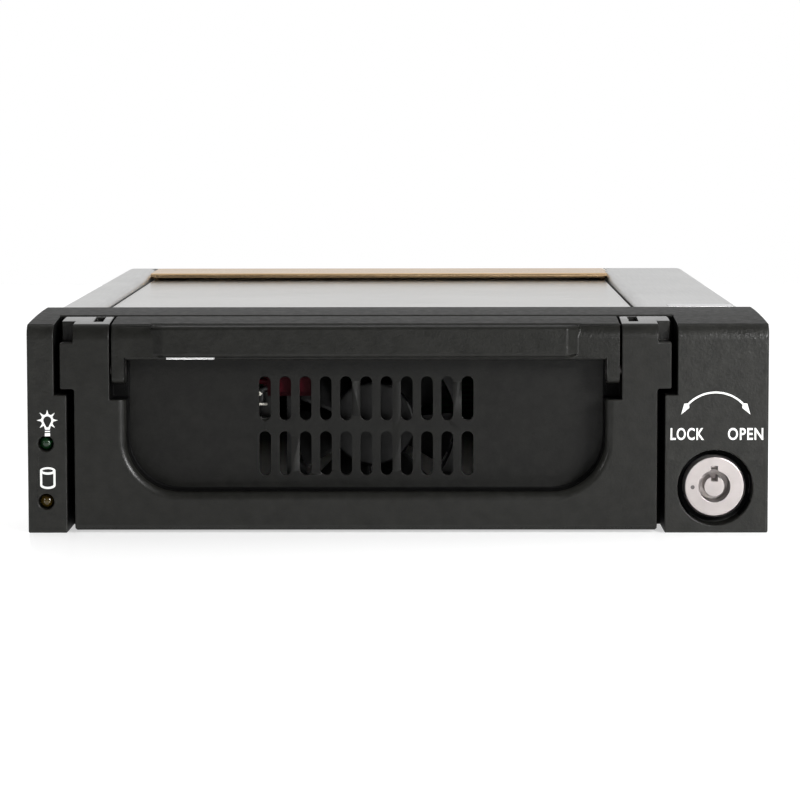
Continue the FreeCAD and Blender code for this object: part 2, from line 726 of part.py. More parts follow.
def led_shelves():
    """Two ribs in the left column, with slots that hold the LED board at its ends."""
    left = -BEZEL_W / 2 + BEZEL_WALL / 2
    right = bay(-LOWER_OPENING_W / 2 - BEZEL_WALL / 4)
    bottom, top = led_board_span()
    y0, y1 = BEZEL_FACE_T / 2, LED_BOARD_Y + BOARD_T + LOOSE
    rib_t, overlap = 1.0, 0.8
    ribs = [
        block(left, right, y0, y1, bottom + overlap - rib_t, bottom + overlap),
        block(left, right, y0, y1, top - overlap, top - overlap + rib_t),
    ]
    slot_y = (LED_BOARD_Y - FIT, LED_BOARD_Y + BOARD_T + FIT)
    return ribs, [block(left + BEZEL_WALL / 2, right, *slot_y, bottom, top)]


def outer_bezel():
    body = cut(bezel_envelope(), portal_space() + column_cavities())
    ribs, rib_slots = led_shelves()
    body = fuse([body] + tongues() + [lock_wall(), sensor_shelf()])
    body = fuse([body, cut(group(ribs), rib_slots)])
    centre = (LOCK_X, -OVER, LOCK_Z)
    tools = [rod(LOCK_RECESS_R, centre, (0, 1, 0), LOCK_RECESS_D + OVER)]
    tools.append(rod(LOCK_BODY_R + FIT, centre, (0, 1, 0), BEZEL_FACE_T + LOCK_RECESS_D + 2 * OVER))
    tools += [rod(LED_R + FIT, (LED_X, -OVER, z), (0, 1, 0), BEZEL_FACE_T + 2 * OVER) for z in LED_Z]
    tools += [flat_screw_hole(p, d, **BEZEL_SCREW) for p, d in bezel_screw_places()]
    tools.append(cam_slot(BAY_RIGHT + BEZEL_WALL, BEZEL_WALL))
    return cut(body, tools)


# ---------------------------------------------------------------- lights
def led_board_span():
    """Bottom and top of the LED board."""
    margin = 3.0
    return LED_Z[0] - margin, LED_Z[1] + margin


def led_board():
    bottom, top = led_board_span()
    left = -column_wall_x(SHOULDER_Y + BEZEL_WALL) + FIT
    right = bay(-LOWER_OPENING_W / 2 - BEZEL_WALL / 2) - FIT
    return block(left, right, LED_BOARD_Y, LED_BOARD_Y + BOARD_T, bottom, top)


def led(z):
    """A 3 mm light: dome, barrel and base flange on the board."""
    dome_y = LED_TIP_Y + LED_R
    dome = Part.makeSphere(LED_R, V(LED_X, dome_y, z))
    barrel = rod(LED_R, (LED_X, dome_y, z), (0, 1, 0), LED_BOARD_Y - dome_y)
    flange = rod(LED_FLANGE_R, (LED_X, LED_BOARD_Y - LED_FLANGE_T, z), (0, 1, 0), LED_FLANGE_T)
    return fuse([dome, barrel, flange])


def amber_led():
    return led(LED_Z[0])


def green_led():
    return led(LED_Z[1])


def board_cable(start, side):
    """A cable from a small front board, back along the inside of a rail, to the backplane board."""
    x = start[0]
    inside = (BAY_LEFT if side < 0 else BAY_RIGHT) - side * 2 * CABLE_BEND
    route = [
        start,
        (x, start[1] + 2 * CABLE_BEND, start[2]),
        (x, BEZEL_D + TONGUE_L, CABLE_Z),
        (x, CABLE_HOLE_Y, CABLE_Z),
        (inside, CABLE_HOLE_Y, CABLE_Z),
        (inside, BACKPLANE_Y, CABLE_Z),
    ]
    return tube(route, CABLE_BEND, CABLE_R)


def led_cable():
    x = LED_X + LED_R + SLIDE
    return board_cable((x, LED_BOARD_Y + BOARD_T, sum(LED_Z) / 2), -1)


# ---------------------------------------------------------------- backplane
STANDOFF_STUD_R = 1.5
STANDOFF_INSET = 6.0
BOARD_SCREW = {"shank_r": 1.0, "length": BOARD_T + 2.5, "head_r": 2.0, "head_t": 1.2}


def standoff_places():
    """(x, z) of the four spacers between the backplane board and the rear panel."""
    half = BACKPLANE_W / 2 - STANDOFF_INSET
    zs = (BACKPLANE_Z[0] + STANDOFF_INSET / 2, BACKPLANE_Z[1] - STANDOFF_INSET / 2)
    return [(bay(side * half), z) for side in (-1, 1) for z in zs]


def backplane_board():
    half = BACKPLANE_W / 2
    y0, y1 = BACKPLANE_Y, BACKPLANE_Y + BOARD_T
    plate = block(bay(-half), bay(half), y0, y1, *BACKPLANE_Z)
    r, length = BOARD_SCREW["shank_r"] + FIT, BOARD_T + 2 * OVER
    return cut(plate, [rod(r, (x, y0 - OVER, z), (0, 1, 0), length) for x, z in standoff_places()])


def backplane_standoffs():
    """Round spacers with a stud pressed into the rear panel."""
    y0 = BACKPLANE_Y + BOARD_T
    r = BOARD_SCREW["shank_r"] + FIT
    spacers = []
    for x, z in standoff_places():
        body = rod(STANDOFF_R, (x, y0, z), (0, 1, 0), RAIL_BACK - y0)
        stud = rod(STANDOFF_STUD_R, (x, RAIL_BACK, z), (0, 1, 0), PANEL_T)
        bore = rod(r, (x, y0 - OVER, z), (0, 1, 0), OVER + BOARD_SCREW["length"])
        spacers.append(cut(fuse([body, stud]), [bore]))
    return group(spacers)


def backplane_screws():
    return group([pan_screw((x, BACKPLANE_Y, z), (0, 1, 0), **BOARD_SCREW) for x, z in standoff_places()])


def plug_tongue(grow):
    """The contact plate of the tray's plug; grow enlarges it to the slot that receives it."""
    half = TONGUE_PLATE_W / 2 + grow
    y0, y1 = PAN_BACK - TRAY_SHEET, PAN_BACK + TONGUE_PLATE_L + grow
    t = TONGUE_PLATE_T / 2 + grow
    return block(bay(-half), bay(half), y0, y1, TRAY_PLUG_Z - t, TRAY_PLUG_Z + t)


def backplane_socket():
    half = TRAY_PLUG_W / 2
    h = TRAY_PLUG_H / 2 + BASE_T
    body = block(bay(-half), bay(half), SOCKET_FRONT, BACKPLANE_Y, TRAY_PLUG_Z - h, TRAY_PLUG_Z + h)
    return body.cut(plug_tongue(SLIDE).common(body))


def shell_port(x, width, height, proud, wall, floor):
    """A connector shroud on the back of the backplane board, open to the rear."""
    y0, y1 = BACKPLANE_Y + BOARD_T, BODY_D + proud
    body = block(x - width / 2, x + width / 2, y0, y1, PORT_Z - height / 2, PORT_Z + height / 2)
    w, h = width / 2 - wall, height / 2 - wall
    return body.cut(block(x - w, x + w, y0 + floor, y1 + OVER, PORT_Z - h, PORT_Z + h))


POWER_WALL = 1.3
POWER_FLOOR = 2.5
POWER_KEY = 2.0
POWER_PIN_R = 1.05
POWER_PIN_PITCH = 5.08


def power_inlet():
    """A four-pin drive power inlet with two keying corners."""
    body = shell_port(POWER_X, POWER_W, POWER_H, POWER_PROUD, POWER_WALL, POWER_FLOOR)
    y0, y1 = BACKPLANE_Y + BOARD_T + POWER_FLOOR, BODY_D + POWER_PROUD
    w, top = POWER_W / 2 - POWER_WALL, PORT_Z + POWER_H / 2 - POWER_WALL
    keys = []
    for side in (-1, 1):
        x = POWER_X + side * w
        corner = [(x, top), (x - side * POWER_KEY, top), (x, top - POWER_KEY)]
        keys.append(slab_xz(corner, (0, 0, 0), y0, y1))
    holes = [rod(POWER_PIN_R, (x, y0 - POWER_FLOOR - OVER, PORT_Z), (0, 1, 0), POWER_FLOOR + 2 * OVER)
             for x in power_pin_xs()]
    return cut(fuse([body] + keys), holes)


def power_pin_xs():
    return [POWER_X + (i - 1.5) * POWER_PIN_PITCH for i in range(4)]


def power_pins():
    y0 = BACKPLANE_Y + BOARD_T
    tip = 1.5
    length = BODY_D + POWER_PROUD - y0 - 2 * tip
    pins = []
    for x in power_pin_xs():
        shank = rod(POWER_PIN_R - FIT, (x, y0, PORT_Z), (0, 1, 0), length)
        point = cone(POWER_PIN_R - FIT, POWER_PIN_R / 2, (x, y0 + length, PORT_Z), (0, 1, 0), tip)
        pins.append(fuse([shank, point]))
    return group(pins)


def data_port():
    """A seven-contact data port: a shroud round an L-shaped contact tongue."""
    wall, floor = 1.0, 2.0
    body = shell_port(DATA_X, DATA_W, DATA_H, DATA_PROUD, wall, floor)
    y0, y1 = BACKPLANE_Y + BOARD_T, BODY_D + DATA_PROUD - wall
    left, right = DATA_X - DATA_W / 2 + 2 * wall, DATA_X + DATA_W / 2 - 2.5 * wall
    tongue = block(left, right, y0, y1, PORT_Z - wall / 2, PORT_Z + wall / 2)
    hook = block(right - wall, right, y0, y1, PORT_Z - 1.5 * wall, PORT_Z)
    return fuse([body, tongue, hook])


# ---------------------------------------------------------------- lock
def keyway(r0, r1):
    """The upright slot of the key at 12 o'clock, between two radii."""
    half = KEYWAY_W / 2
    return block(LOCK_X - half, LOCK_X + half, LOCK_FACE_Y - OVER, PLUG_SHOULDER_Y, LOCK_Z + r0, LOCK_Z + r1)


def lock_axis_rod(radius, y0, y1):
    return rod(radius, (LOCK_X, y0, LOCK_Z), (0, 1, 0), y1 - y0)


def lock_housing():
    face = lock_axis_rod(LOCK_FACE_R, LOCK_FACE_Y, LOCK_RECESS_D)
    rim = [e for e in face.Edges if all(abs(v.Y - LOCK_FACE_Y) < TINY for v in e.Vertexes)]
    face = face.makeChamfer(0.4, rim)
    body = lock_axis_rod(LOCK_BODY_R, LOCK_RECESS_D, LOCK_BODY_BACK)
    bore = lock_axis_rod(PLUG_R + FIT, LOCK_FACE_Y - OVER, LOCK_BODY_BACK + OVER)
    return cut(fuse([face, body]), [bore, keyway(0, PLUG_R + KEYWAY_DEPTH)])


def lock_nut():
    """A hexagon nut with its flats at the top and the bottom, where the column is tight."""
    y0 = LOCK_RECESS_D + PANEL_WALL
    corner = LOCK_NUT_FLATS / math.sqrt(3)
    turns = [math.radians(60 * i) for i in range(6)]
    points = [(LOCK_X + corner * math.cos(a), LOCK_Z + corner * math.sin(a)) for a in turns]
    nut = slab_xz(points, (0.4,) * 6, y0, y0 + LOCK_NUT_T)
    return nut.cut(lock_axis_rod(LOCK_BODY_R + FIT, y0 - OVER, y0 + LOCK_NUT_T + OVER))


def lock_plug():
    """The turning core: the key post in front, the barrel, and the square tail that drives the cam."""
    barrel = lock_axis_rod(PLUG_R, PLUG_SHOULDER_Y, LOCK_BODY_BACK)
    post = lock_axis_rod(POST_R, LOCK_FACE_Y, PLUG_SHOULDER_Y)
    tail = square_tail(0, LOCK_BODY_BACK - OVER, CAM_BACK)
    stud = lock_axis_rod(M3_TAP_R, CAM_BACK - OVER, CAM_BACK + CAM_NUT_T + 0.6)
    return cut(fuse([barrel, post, tail, stud]), [keyway(POST_R - KEYWAY_DEPTH, POST_R + OVER)])


def square_tail(grow, y0, y1):
    half = TAIL_SIZE / 2 + grow
    return block(LOCK_X - half, LOCK_X + half, y0, y1, LOCK_Z - half, LOCK_Z + half)


def lock_cam():
    """The locking tongue. It points up when the lock is open and into the tray's side when locked."""
    half = CAM_W / 2
    y0, y1 = CAM_Y, CAM_BACK
    tip = LOCK_Z + CAM_REACH
    x0, x1 = LOCK_X - half, LOCK_X + half
    corners = [(x0, LOCK_Z), (x1, LOCK_Z), (x1, tip), (x0, tip)]
    tongue = slab_xz(corners, (0, 0, half / 2, half / 2), y0, y1)
    hub = lock_axis_rod(half + 1.0, y0, y1)
    return fuse([tongue, hub]).cut(square_tail(FIT, y0 - OVER, y1 + OVER))


def cam_nut():
    corner = CAM_NUT_FLATS / math.sqrt(3)
    turns = [math.radians(60 * i) for i in range(6)]
    points = [(LOCK_X + corner * math.cos(a), LOCK_Z + corner * math.sin(a)) for a in turns]
    nut = slab_xz(points, (0,) * 6, CAM_BACK, CAM_BACK + CAM_NUT_T)
    return nut.cut(lock_axis_rod(M3_TAP_R + FIT, CAM_BACK - OVER, CAM_BACK + CAM_NUT_T + OVER))


def cam_slot(wall_x, thickness):
    """Room for the cam's tongue as it swings through a wall whose right face is at wall_x."""
    bottom = LOCK_Z - CAM_W / 2 - LOOSE
    rise = math.sqrt(CAM_REACH ** 2 - (LOCK_X - wall_x) ** 2) + LOOSE
    x0, x1 = wall_x - thickness - OVER, wall_x + OVER
    return block(x0, x1, CAM_Y - LOOSE, CAM_BACK + LOOSE, bottom, LOCK_Z + rise)


SENSOR_W = 11.0
SENSOR_ARM = 2.4
SENSOR_H = 7.0
SENSOR_OVERLAP = 3.0
SENSOR_BOARD_W = 12.0


def sensor_box():
    """Front, back, bottom and top of the slotted sensor that reads the cam's tip."""
    front = CAM_Y - LOOSE - SENSOR_ARM
    back = CAM_BACK + LOOSE + SENSOR_ARM
    bottom = LOCK_Z + CAM_REACH - SENSOR_OVERLAP
    return front, back, bottom, bottom + SENSOR_H


def lock_sensor():
    front, back, bottom, top = sensor_box()
    half = SENSOR_W / 2
    body = block(LOCK_X - half, LOCK_X + half, front, back, bottom, top)
    slot_top = LOCK_Z + CAM_REACH + 2 * LOOSE
    slot_x = (LOCK_X - half - OVER, LOCK_X + half + OVER)
    return body.cut(block(*slot_x, CAM_Y - LOOSE, CAM_BACK + LOOSE, bottom - OVER, slot_top))


def sensor_board():
    front, back, bottom, top = sensor_box()
    half = SENSOR_BOARD_W / 2
    return block(LOCK_X - half, LOCK_X + half, front, back + SENSOR_ARM, top, top + BOARD_T)


def sensor_shelf():
    """The rib in the right column that carries the sensor board."""
    front, back, bottom, top = sensor_box()
    left = BAY_RIGHT + BEZEL_WALL / 2
    right = BEZEL_W / 2 - BEZEL_TAPER - BEZEL_WALL / 2
    z = top + BOARD_T
    return block(left, right, front, back + SENSOR_ARM, z, z + BEZEL_WALL)


def sensor_cable():
    front, back, bottom, top = sensor_box()
    x = LOCK_X - SENSOR_BOARD_W / 2 + 2 * CABLE_R
    return board_cable((x, back + SENSOR_ARM, top + BOARD_T / 2), 1)


# ---------------------------------------------------------------- tray head
def head_blank():
    lower, upper = HEAD_LOWER_W / 2, HEAD_UPPER_W / 2
    right_side = [(lower, HEAD_Z), (lower, HEAD_STEP_Z), (upper, HEAD_STEP_Z), (upper, HEAD_TOP)]
    outline = [(bay(-lower), HEAD_Z)]
    outline += [(bay(x), z) for x, z in right_side]
    outline += [(bay(-x), z) for x, z in reversed(right_side[1:])]
    slab = slab_xz(outline, (0.5, 0.5, 0.5, 0.4, 0.4, 0.4, 0.4, 0.5), 0, HEAD_D)
    side = [(0, HEAD_Z + HEAD_CHAMFER), (HEAD_CHAMFER / 2, HEAD_Z), (HEAD_D, HEAD_Z)]
    side += [(HEAD_D, HEAD_TOP), (0, HEAD_TOP)]
    return slab.common(slab_yz(side, (0.4, 0.2, 0, 0, 0), bay(-upper), bay(upper))).cut(above_crown())


def pocket_mouth():
    """The finger pocket up to the handle's bar, without the rounded lip."""
    half = POCKET_W / 2
    top = BAR_Z + OVER
    corners = [(bay(-half), POCKET_Z), (bay(half), POCKET_Z), (bay(half), top), (bay(-half), top)]
    return slab_xz(corners, (POCKET_R, POCKET_R, LIP_R, LIP_R), -OVER, POCKET_D)


def pocket_behind_bar():
    """The finger room that goes on up behind the closed handle."""
    half = POCKET_W / 2
    floor, roof = BAR_Z - 2 * LIP_R, HEAD_TOP - SHELF_T
    corners = [(bay(-half), floor), (bay(half), floor), (bay(half), roof), (bay(-half), roof)]
    return slab_xz(corners, (0, 0, POCKET_TOP_R, POCKET_TOP_R), HANDLE_D, POCKET_D)


def lip_edges(shape):
    """The mouth's edges in the front face."""
    half = POCKET_W / 2 + FIT
    found = []
    for edge in shape.Edges:
        box = edge.BoundBox
        in_face = abs(box.YMin) < FIT and abs(box.YMax) < FIT
        in_width = box.XMin > bay(-half) - FIT and box.XMax < bay(half) + FIT
        if in_face and in_width and box.ZMin > POCKET_Z - 2 * FIT and box.ZMax < BAR_Z + OVER + 2 * FIT:
            found.append(edge)
    return found


def handle_recess():
    """Where the closed handle lies, with room for its heels to swing."""
    half = RECESS_W / 2
    inner = POCKET_W / 2 - OVER
    floor = BAR_Z - HANDLE_GAP
    bar = block(bay(-half), bay(half), -OVER, HANDLE_D + SLIDE, floor, HEAD_TOP + OVER)
    under_plate = HEAD_TOP - PLATE_T - SLIDE
    plate = block(bay(-half), bay(half), HANDLE_D, HEAD_D + OVER, under_plate, HEAD_TOP + OVER)
    arm_depth = PIVOT_Y + (HANDLE_D - PIVOT_Y) * 1.5 + LOOSE
    arms = [
        block(bay(x0), bay(x1), -OVER, arm_depth, HEEL_Z - HEEL_GAP, BAR_Z)
        for x0, x1 in ((-half, -inner), (inner, half))
    ]
    return [bar, plate] + arms


def vent_slots():
    first = -(SLOT_COLUMNS - 1) / 2 * SLOT_PITCH
    return [
        oblong(bay(first + i * SLOT_PITCH), SLOT_Z + row * SLOT_ROW_PITCH / 2, SLOT_W, SLOT_H,
               POCKET_D - OVER, POCKET_BACK + OVER)
        for i in range(SLOT_COLUMNS)
        for row in (-1, 1)
    ]


def head_hollows():
    """The hollows behind the head's face: one in each ear, one under the pocket, and the rear rim."""
    ear_in = RECESS_W / 2 + HEAD_WALL * 0.65
    ear_out = HEAD_LOWER_W / 2 - HEAD_WALL * 0.8
    rim = PAN_W / 2 + SLIDE
    roof = HEAD_TOP - SHELF_T
    hollows = [
        block(bay(x0), bay(x1), HEAD_WALL, POCKET_BACK + FIT, EAR_HOLLOW_Z, roof - CROWN_DROP)
        for x0, x1 in ((-ear_out, -ear_in), (ear_in, ear_out))
    ]
    half = POCKET_W / 2 - POCKET_R
    hollows.append(block(bay(-half), bay(half), HEAD_WALL, POCKET_BACK + FIT, PAN_Z, POCKET_Z - HEAD_WALL))
    hollows.append(block(bay(-rim), bay(rim), POCKET_BACK, HEAD_D + OVER, PAN_Z, roof))
    return hollows


def ear_cuts():
    """The corner notches and the narrow slots in the tops of the two ears."""
    upper = HEAD_UPPER_W / 2
    cuts = []
    for side in (-1, 1):
        x0, x1 = sorted((bay(side * (upper - NOTCH_W)), bay(side * (upper + OVER))))
        cuts.append(block(x0, x1, -OVER, NOTCH_D, HEAD_TOP - NOTCH_H, HEAD_TOP + OVER))
        x = bay(side * EAR_SLOT_X)
        half = EAR_SLOT_W / 2
        cuts.append(block(x - half, x + half, *EAR_SLOT_Y, HEAD_TOP - SHELF_T - CROWN_DROP - OVER, HEAD_TOP + OVER))
    return cuts


def fan_hole_places():
    half = FAN_HOLES / 2
    return [(FAN_X + i * half, FAN_Z + k * half) for i in (-1, 1) for k in (-1, 1)]


FAN_SCREW = {"shank_r": 1.25, "length": FAN_D + FAN_STANDOFF + 1.0, "head_r": 2.4, "head_t": 1.3}
BOSS_R = 2.8


def fan_bosses():
    return [rod(BOSS_R, (x, POCKET_D, z), (0, 1, 0), FAN_FRONT - POCKET_D) for x, z in fan_hole_places()]


def lugs():
    """Blocks behind the head that the pan's sides are screwed to."""
    outer = PAN_W / 2 - TRAY_SHEET
    blocks = []
    for side in (-1, 1):
        x0, x1 = sorted((bay(side * outer), bay(side * (outer - LUG_W))))
        blocks += [block(x0, x1, POCKET_D, LUG_BACK, z - LUG_H / 2, z + LUG_H / 2) for z in LUG_Z]
    return blocks


HEAD_SCREW = {"shank_r": 1.25, "length": 5.5, "head_r": 2.3, "head_t": TRAY_SHEET}


def head_screw_places():
    places = []
    for side in (-1, 1):
        x = bay(side * PAN_W / 2)
        places += [((x, LUG_SCREW_Y, z), (-side, 0, 0)) for z in LUG_Z]
    return places


def head_screws():
    return group([flat_screw(p, d, **HEAD_SCREW) for p, d in head_screw_places()])


PLUG_SEAT_X = BAY_X - 22.0
PLUG_SEAT_Z = FAN_Z + 1.85
FAN_PLUG_W = 5.4
FAN_PLUG_H = 4.6
FAN_PLUG_Y = (13.0, 18.0)
CABLE_SOCKET_L = 5.0


def plug_seat():
    """A small shelf behind the pocket's panel that carries the fan's plug."""
    half = FAN_PLUG_W / 2 + SLIDE
    back = FAN_PLUG_Y[1] + CABLE_SOCKET_L - OVER
    x0, x1 = PLUG_SEAT_X - half, PLUG_SEAT_X + half
    return block(x0, x1, POCKET_D + OVER, back, PLUG_SEAT_Z - OVER, PLUG_SEAT_Z)


def tray_head():
    body = head_blank().cut(pocket_mouth())
    body = body.makeFillet(LIP_R, lip_edges(body))
    body = cut(body, [pocket_behind_bar()] + handle_recess() + head_hollows() + ear_cuts())
    body = fuse([body] + fan_bosses() + lugs())
    tools = vent_slots()
    tools += [rod(FAN_SCREW["shank_r"] + FIT, (x, FAN_BACK, z), (0, -1, 0), FAN_SCREW["length"] + FIT)
              for x, z in fan_hole_places()]
    tools += [flat_screw_hole(p, d, **HEAD_SCREW) for p, d in head_screw_places()]
    tools += [rod(PIN_R + FIT / 2, p, d, length) for p, d, length in pin_places()]
    return fuse([cut(body, tools), plug_seat()])


# ---------------------------------------------------------------- handle
PIN_IN_HEAD = 2.6


def pin_places():
    """(start, direction, length) of each pivot pin, from the arm's inner face into the head."""
    length = ARM_W + HANDLE_GAP + PIN_IN_HEAD
    start = HANDLE_W / 2 - ARM_W
    return [((bay(side * start), PIVOT_Y, PIVOT_Z), (side, 0, 0), length) for side in (-1, 1)]


def handle_pins():
    return group([rod(PIN_R, p, d, length) for p, d, length in pin_places()])


def grip():
    """The proud part of the bar, with slanted ends and a rounded front."""
    half = GRIP_W / 2
    foot = half + GRIP_SLANT
    root = 0.4
    right_side = [(half, -GRIP_PROUD), (foot, root), (foot, SCOOP_Y[0])]
    plan = [(bay(x), y) for x, y in right_side]
    plan += [(bay(-x), y) for x, y in reversed(right_side)]
    body = slab_xy(plan, (1.0, 0, 0, 0, 0, 1.0), BAR_Z + GRIP_LIFT, GRIP_TOP)
    rims = []
    for edge in body.Edges:
        box = edge.BoundBox
        is_level = box.ZLength < TINY and box.YMin < root - FIT
        if is_level:
            rims.append(edge)
    return body.makeFillet(GRIP_ROUND, rims)


def scoop():
    """The step cut into the handle's top edge above the grip."""
    foot = GRIP_W / 2 + GRIP_SLANT
    rise = SCOOP_Y[1] - SCOOP_Y[0]
    steps = [(-OVER, GRIP_TOP), (SCOOP_Y[0], GRIP_TOP), (SCOOP_Y[1], GRIP_TOP + rise)]
    steps += [(SCOOP_Y[1], HEAD_TOP + OVER), (-OVER, HEAD_TOP + OVER)]
    return slab_yz(steps, (0,) * 5, bay(-foot), bay(foot))


def handle():
    half = HANDLE_W / 2
    under_plate = HEAD_TOP - PLATE_T
    bar = [(0, BAR_Z), (HANDLE_D, BAR_Z), (HANDLE_D, under_plate), (HEAD_D, under_plate)]
    bar += [(HEAD_D, HEAD_TOP), (0, HEAD_TOP)]
    body = slab_yz(bar, (0.5, 0.5, 0.3, 0, 0.2, 0), bay(-half), bay(half))
    body = cut(body, [above_crown(), scoop()])
    inner = half - ARM_W
    heel = HANDLE_D - PIVOT_Y
    root = BAR_Z + BAR_H / 3
    arm = [(0, HEEL_Z), (HANDLE_D, HEEL_Z), (HANDLE_D, root), (0, root)]
    arms = [
        slab_yz(arm, (1.2, min(heel, PIVOT_Z - HEEL_Z), 0, 0), *sorted((bay(side * inner), bay(side * half))))
        for side in (-1, 1)
    ]
    body = fuse([body] + arms + [grip()])
    z0, z1 = BAR_Z + HANDLE_WALL, GRIP_TOP - HANDLE_WALL
    half_trough = inner - OVER
    trough = block(bay(-half_trough), bay(half_trough), HANDLE_WALL, HANDLE_D + OVER, z0, z1)
    pitch = 2 * half_trough / (RIB_COUNT + 1)
    ribs = []
    for i in range(RIB_COUNT):
        x = bay(pitch * (i + 1) - half_trough)
        x0, x1 = x - RIB_T / 2, x + RIB_T / 2
        ribs.append(block(x0, x1, HANDLE_WALL - FIT, HANDLE_D - 0.4, z0 - FIT, z1 + FIT))
    bores = [rod(PIN_R + FIT, (bay(side * (inner - OVER)), PIVOT_Y, PIVOT_Z), (side, 0, 0), ARM_W + 2 * OVER)
             for side in (-1, 1)]
    return cut(fuse([body.cut(trough)] + ribs), bores)


# ---------------------------------------------------------------- tray
COVER_SCREW = {"shank_r": 0.9, "length": COVER_T + TRAY_SHEET, "head_r": 1.7, "head_t": COVER_T}


def cover_screw_places():
    ys = (COVER_FRONT + COVER_SCREW_INSET[0], PAN_BACK - COVER_SCREW_INSET[1])
    places = []
    for side in (-1, 1):
        x = bay(side * (PAN_W / 2 + COVER_T))
        places += [((x, y, COVER_SCREW_Z), (-side, 0, 0)) for y in ys]
    return places


def cover_screws():
    return group([flat_screw(p, d, **COVER_SCREW) for p, d in cover_screw_places()])


def drive_hole_places():
    back = DRIVE_BACK - DRIVE_HOLE_BACK
    return [(bay(side * DRIVE_HOLE_X / 2), y) for side in (-1, 1) for y in (back - DRIVE_HOLE_Y, back)]




def board_tabs():
    """Two tabs turned up from the pan's floor that carry the tray board."""
    y0 = TRAY_BOARD_Y + BOARD_T
    half = BOARD_TAB_W / 2
    xs = [bay(side * BOARD_TAB_X) for side in (-1, 1)]
    return [block(x - half, x + half, y0, y0 + TRAY_SHEET, PAN_Z, BOARD_TAB_TOP) for x in xs]


def board_screw_places():
    return [(bay(side * BOARD_TAB_X), TRAY_BOARD_Y, BOARD_SCREW_Z) for side in (-1, 1)]


TRAY_BOARD_SCREW = {"shank_r": 1.2, "length": BOARD_T + TRAY_SHEET + 1.0, "head_r": 2.2, "head_t": 1.2}


def tray_pan():
    """The folded sheet tray: floor, two sides, and a rear wall cut low in the middle to let the air out."""
    half = PAN_W / 2
    t = TRAY_SHEET
    outside = block(bay(-half), bay(half), PAN_FRONT, PAN_BACK, PAN_Z, PAN_TOP)
    inside = block(bay(-half + t), bay(half - t), PAN_FRONT - OVER, PAN_BACK - t, PAN_Z + t, PAN_TOP + OVER)
    w, h = TRAY_PLUG_W / 2 + LOOSE, TRAY_PLUG_H / 2 + LOOSE
    wall_y = (PAN_BACK - t - OVER, PAN_BACK + OVER)
    window = block(bay(-w), bay(w), *wall_y, TRAY_PLUG_Z - h, TRAY_PLUG_Z + h)
    exit_half = AIR_EXIT_W / 2
    air_exit = block(bay(-exit_half), bay(exit_half), *wall_y, AIR_EXIT_Z, PAN_TOP + OVER)
    body = fuse([outside.cut(inside)] + board_tabs())
    tools = [window, air_exit, cam_slot(bay(half), t)]
    neck_r, neck_l = GROMMET_R / 2 + FIT, t + 2 * OVER
    tools += [rod(neck_r, (x, y, PAN_Z - OVER), (0, 0, 1), neck_l) for x, y in drive_hole_places()]
    tools += [flat_screw_hole(p, d, **HEAD_SCREW) for p, d in head_screw_places()]
    tools += [flat_screw_hole(p, d, **COVER_SCREW) for p, d in cover_screw_places()]
    r = TRAY_BOARD_SCREW["shank_r"] + FIT
    tools += [rod(r, p, (0, 1, 0), BOARD_T + 3 * OVER) for p in board_screw_places()]
    return cut(body, tools)


def tray_cover():
    """The lid over the tray: a flat plate with a lip folded down outside each side of the pan."""
    half = PAN_W / 2
    outside = block(bay(-half - COVER_T), bay(half + COVER_T), COVER_FRONT, PAN_BACK, COVER_LIP_Z, COVER_TOP)
    y0, y1 = COVER_FRONT - OVER, PAN_BACK + OVER
    inside = block(bay(-half), bay(half), y0, y1, COVER_LIP_Z - OVER, PAN_TOP)
    holes = [flat_screw_hole(p, d, **COVER_SCREW) for p, d in cover_screw_places()]
    return cut(outside, [inside] + holes)


def drive_grommets():
    """Rubber bushes in the pan's floor: the drive rests on them and its screws pass through them."""
    bushes = []
    for x, y in drive_hole_places():
        pad = rod(GROMMET_R, (x, y, PAN_FLOOR), (0, 0, 1), GROMMET_T)
        neck = rod(GROMMET_R / 2, (x, y, PAN_Z), (0, 0, 1), TRAY_SHEET + GROMMET_T)
        hole = rod(M3_CLEAR_R, (x, y, PAN_Z - OVER), (0, 0, 1), TRAY_SHEET + GROMMET_T + 2 * OVER)
        bushes.append(fuse([pad, neck]).cut(hole))
    return group(bushes)


def tray_board():
    half = TRAY_BOARD_W / 2
    plate = block(bay(-half), bay(half), TRAY_BOARD_Y, TRAY_BOARD_Y + BOARD_T, *TRAY_BOARD_Z)
    r = TRAY_BOARD_SCREW["shank_r"] + FIT
    holes = [rod(r, (x, y - OVER, z), (0, 1, 0), BOARD_T + 2 * OVER) for x, y, z in board_screw_places()]
    return cut(plate, holes)


def board_screws():
    return group([pan_screw(p, (0, 1, 0), **TRAY_BOARD_SCREW) for p in board_screw_places()])


def tray_plug():
    """The blind-mate plug on the back of the tray board."""
    half = TRAY_PLUG_W / 2
    h = TRAY_PLUG_H / 2
    body = block(bay(-half), bay(half), TRAY_BOARD_Y + BOARD_T, PAN_BACK, TRAY_PLUG_Z - h, TRAY_PLUG_Z + h)
    return fuse([body, plug_tongue(0)])


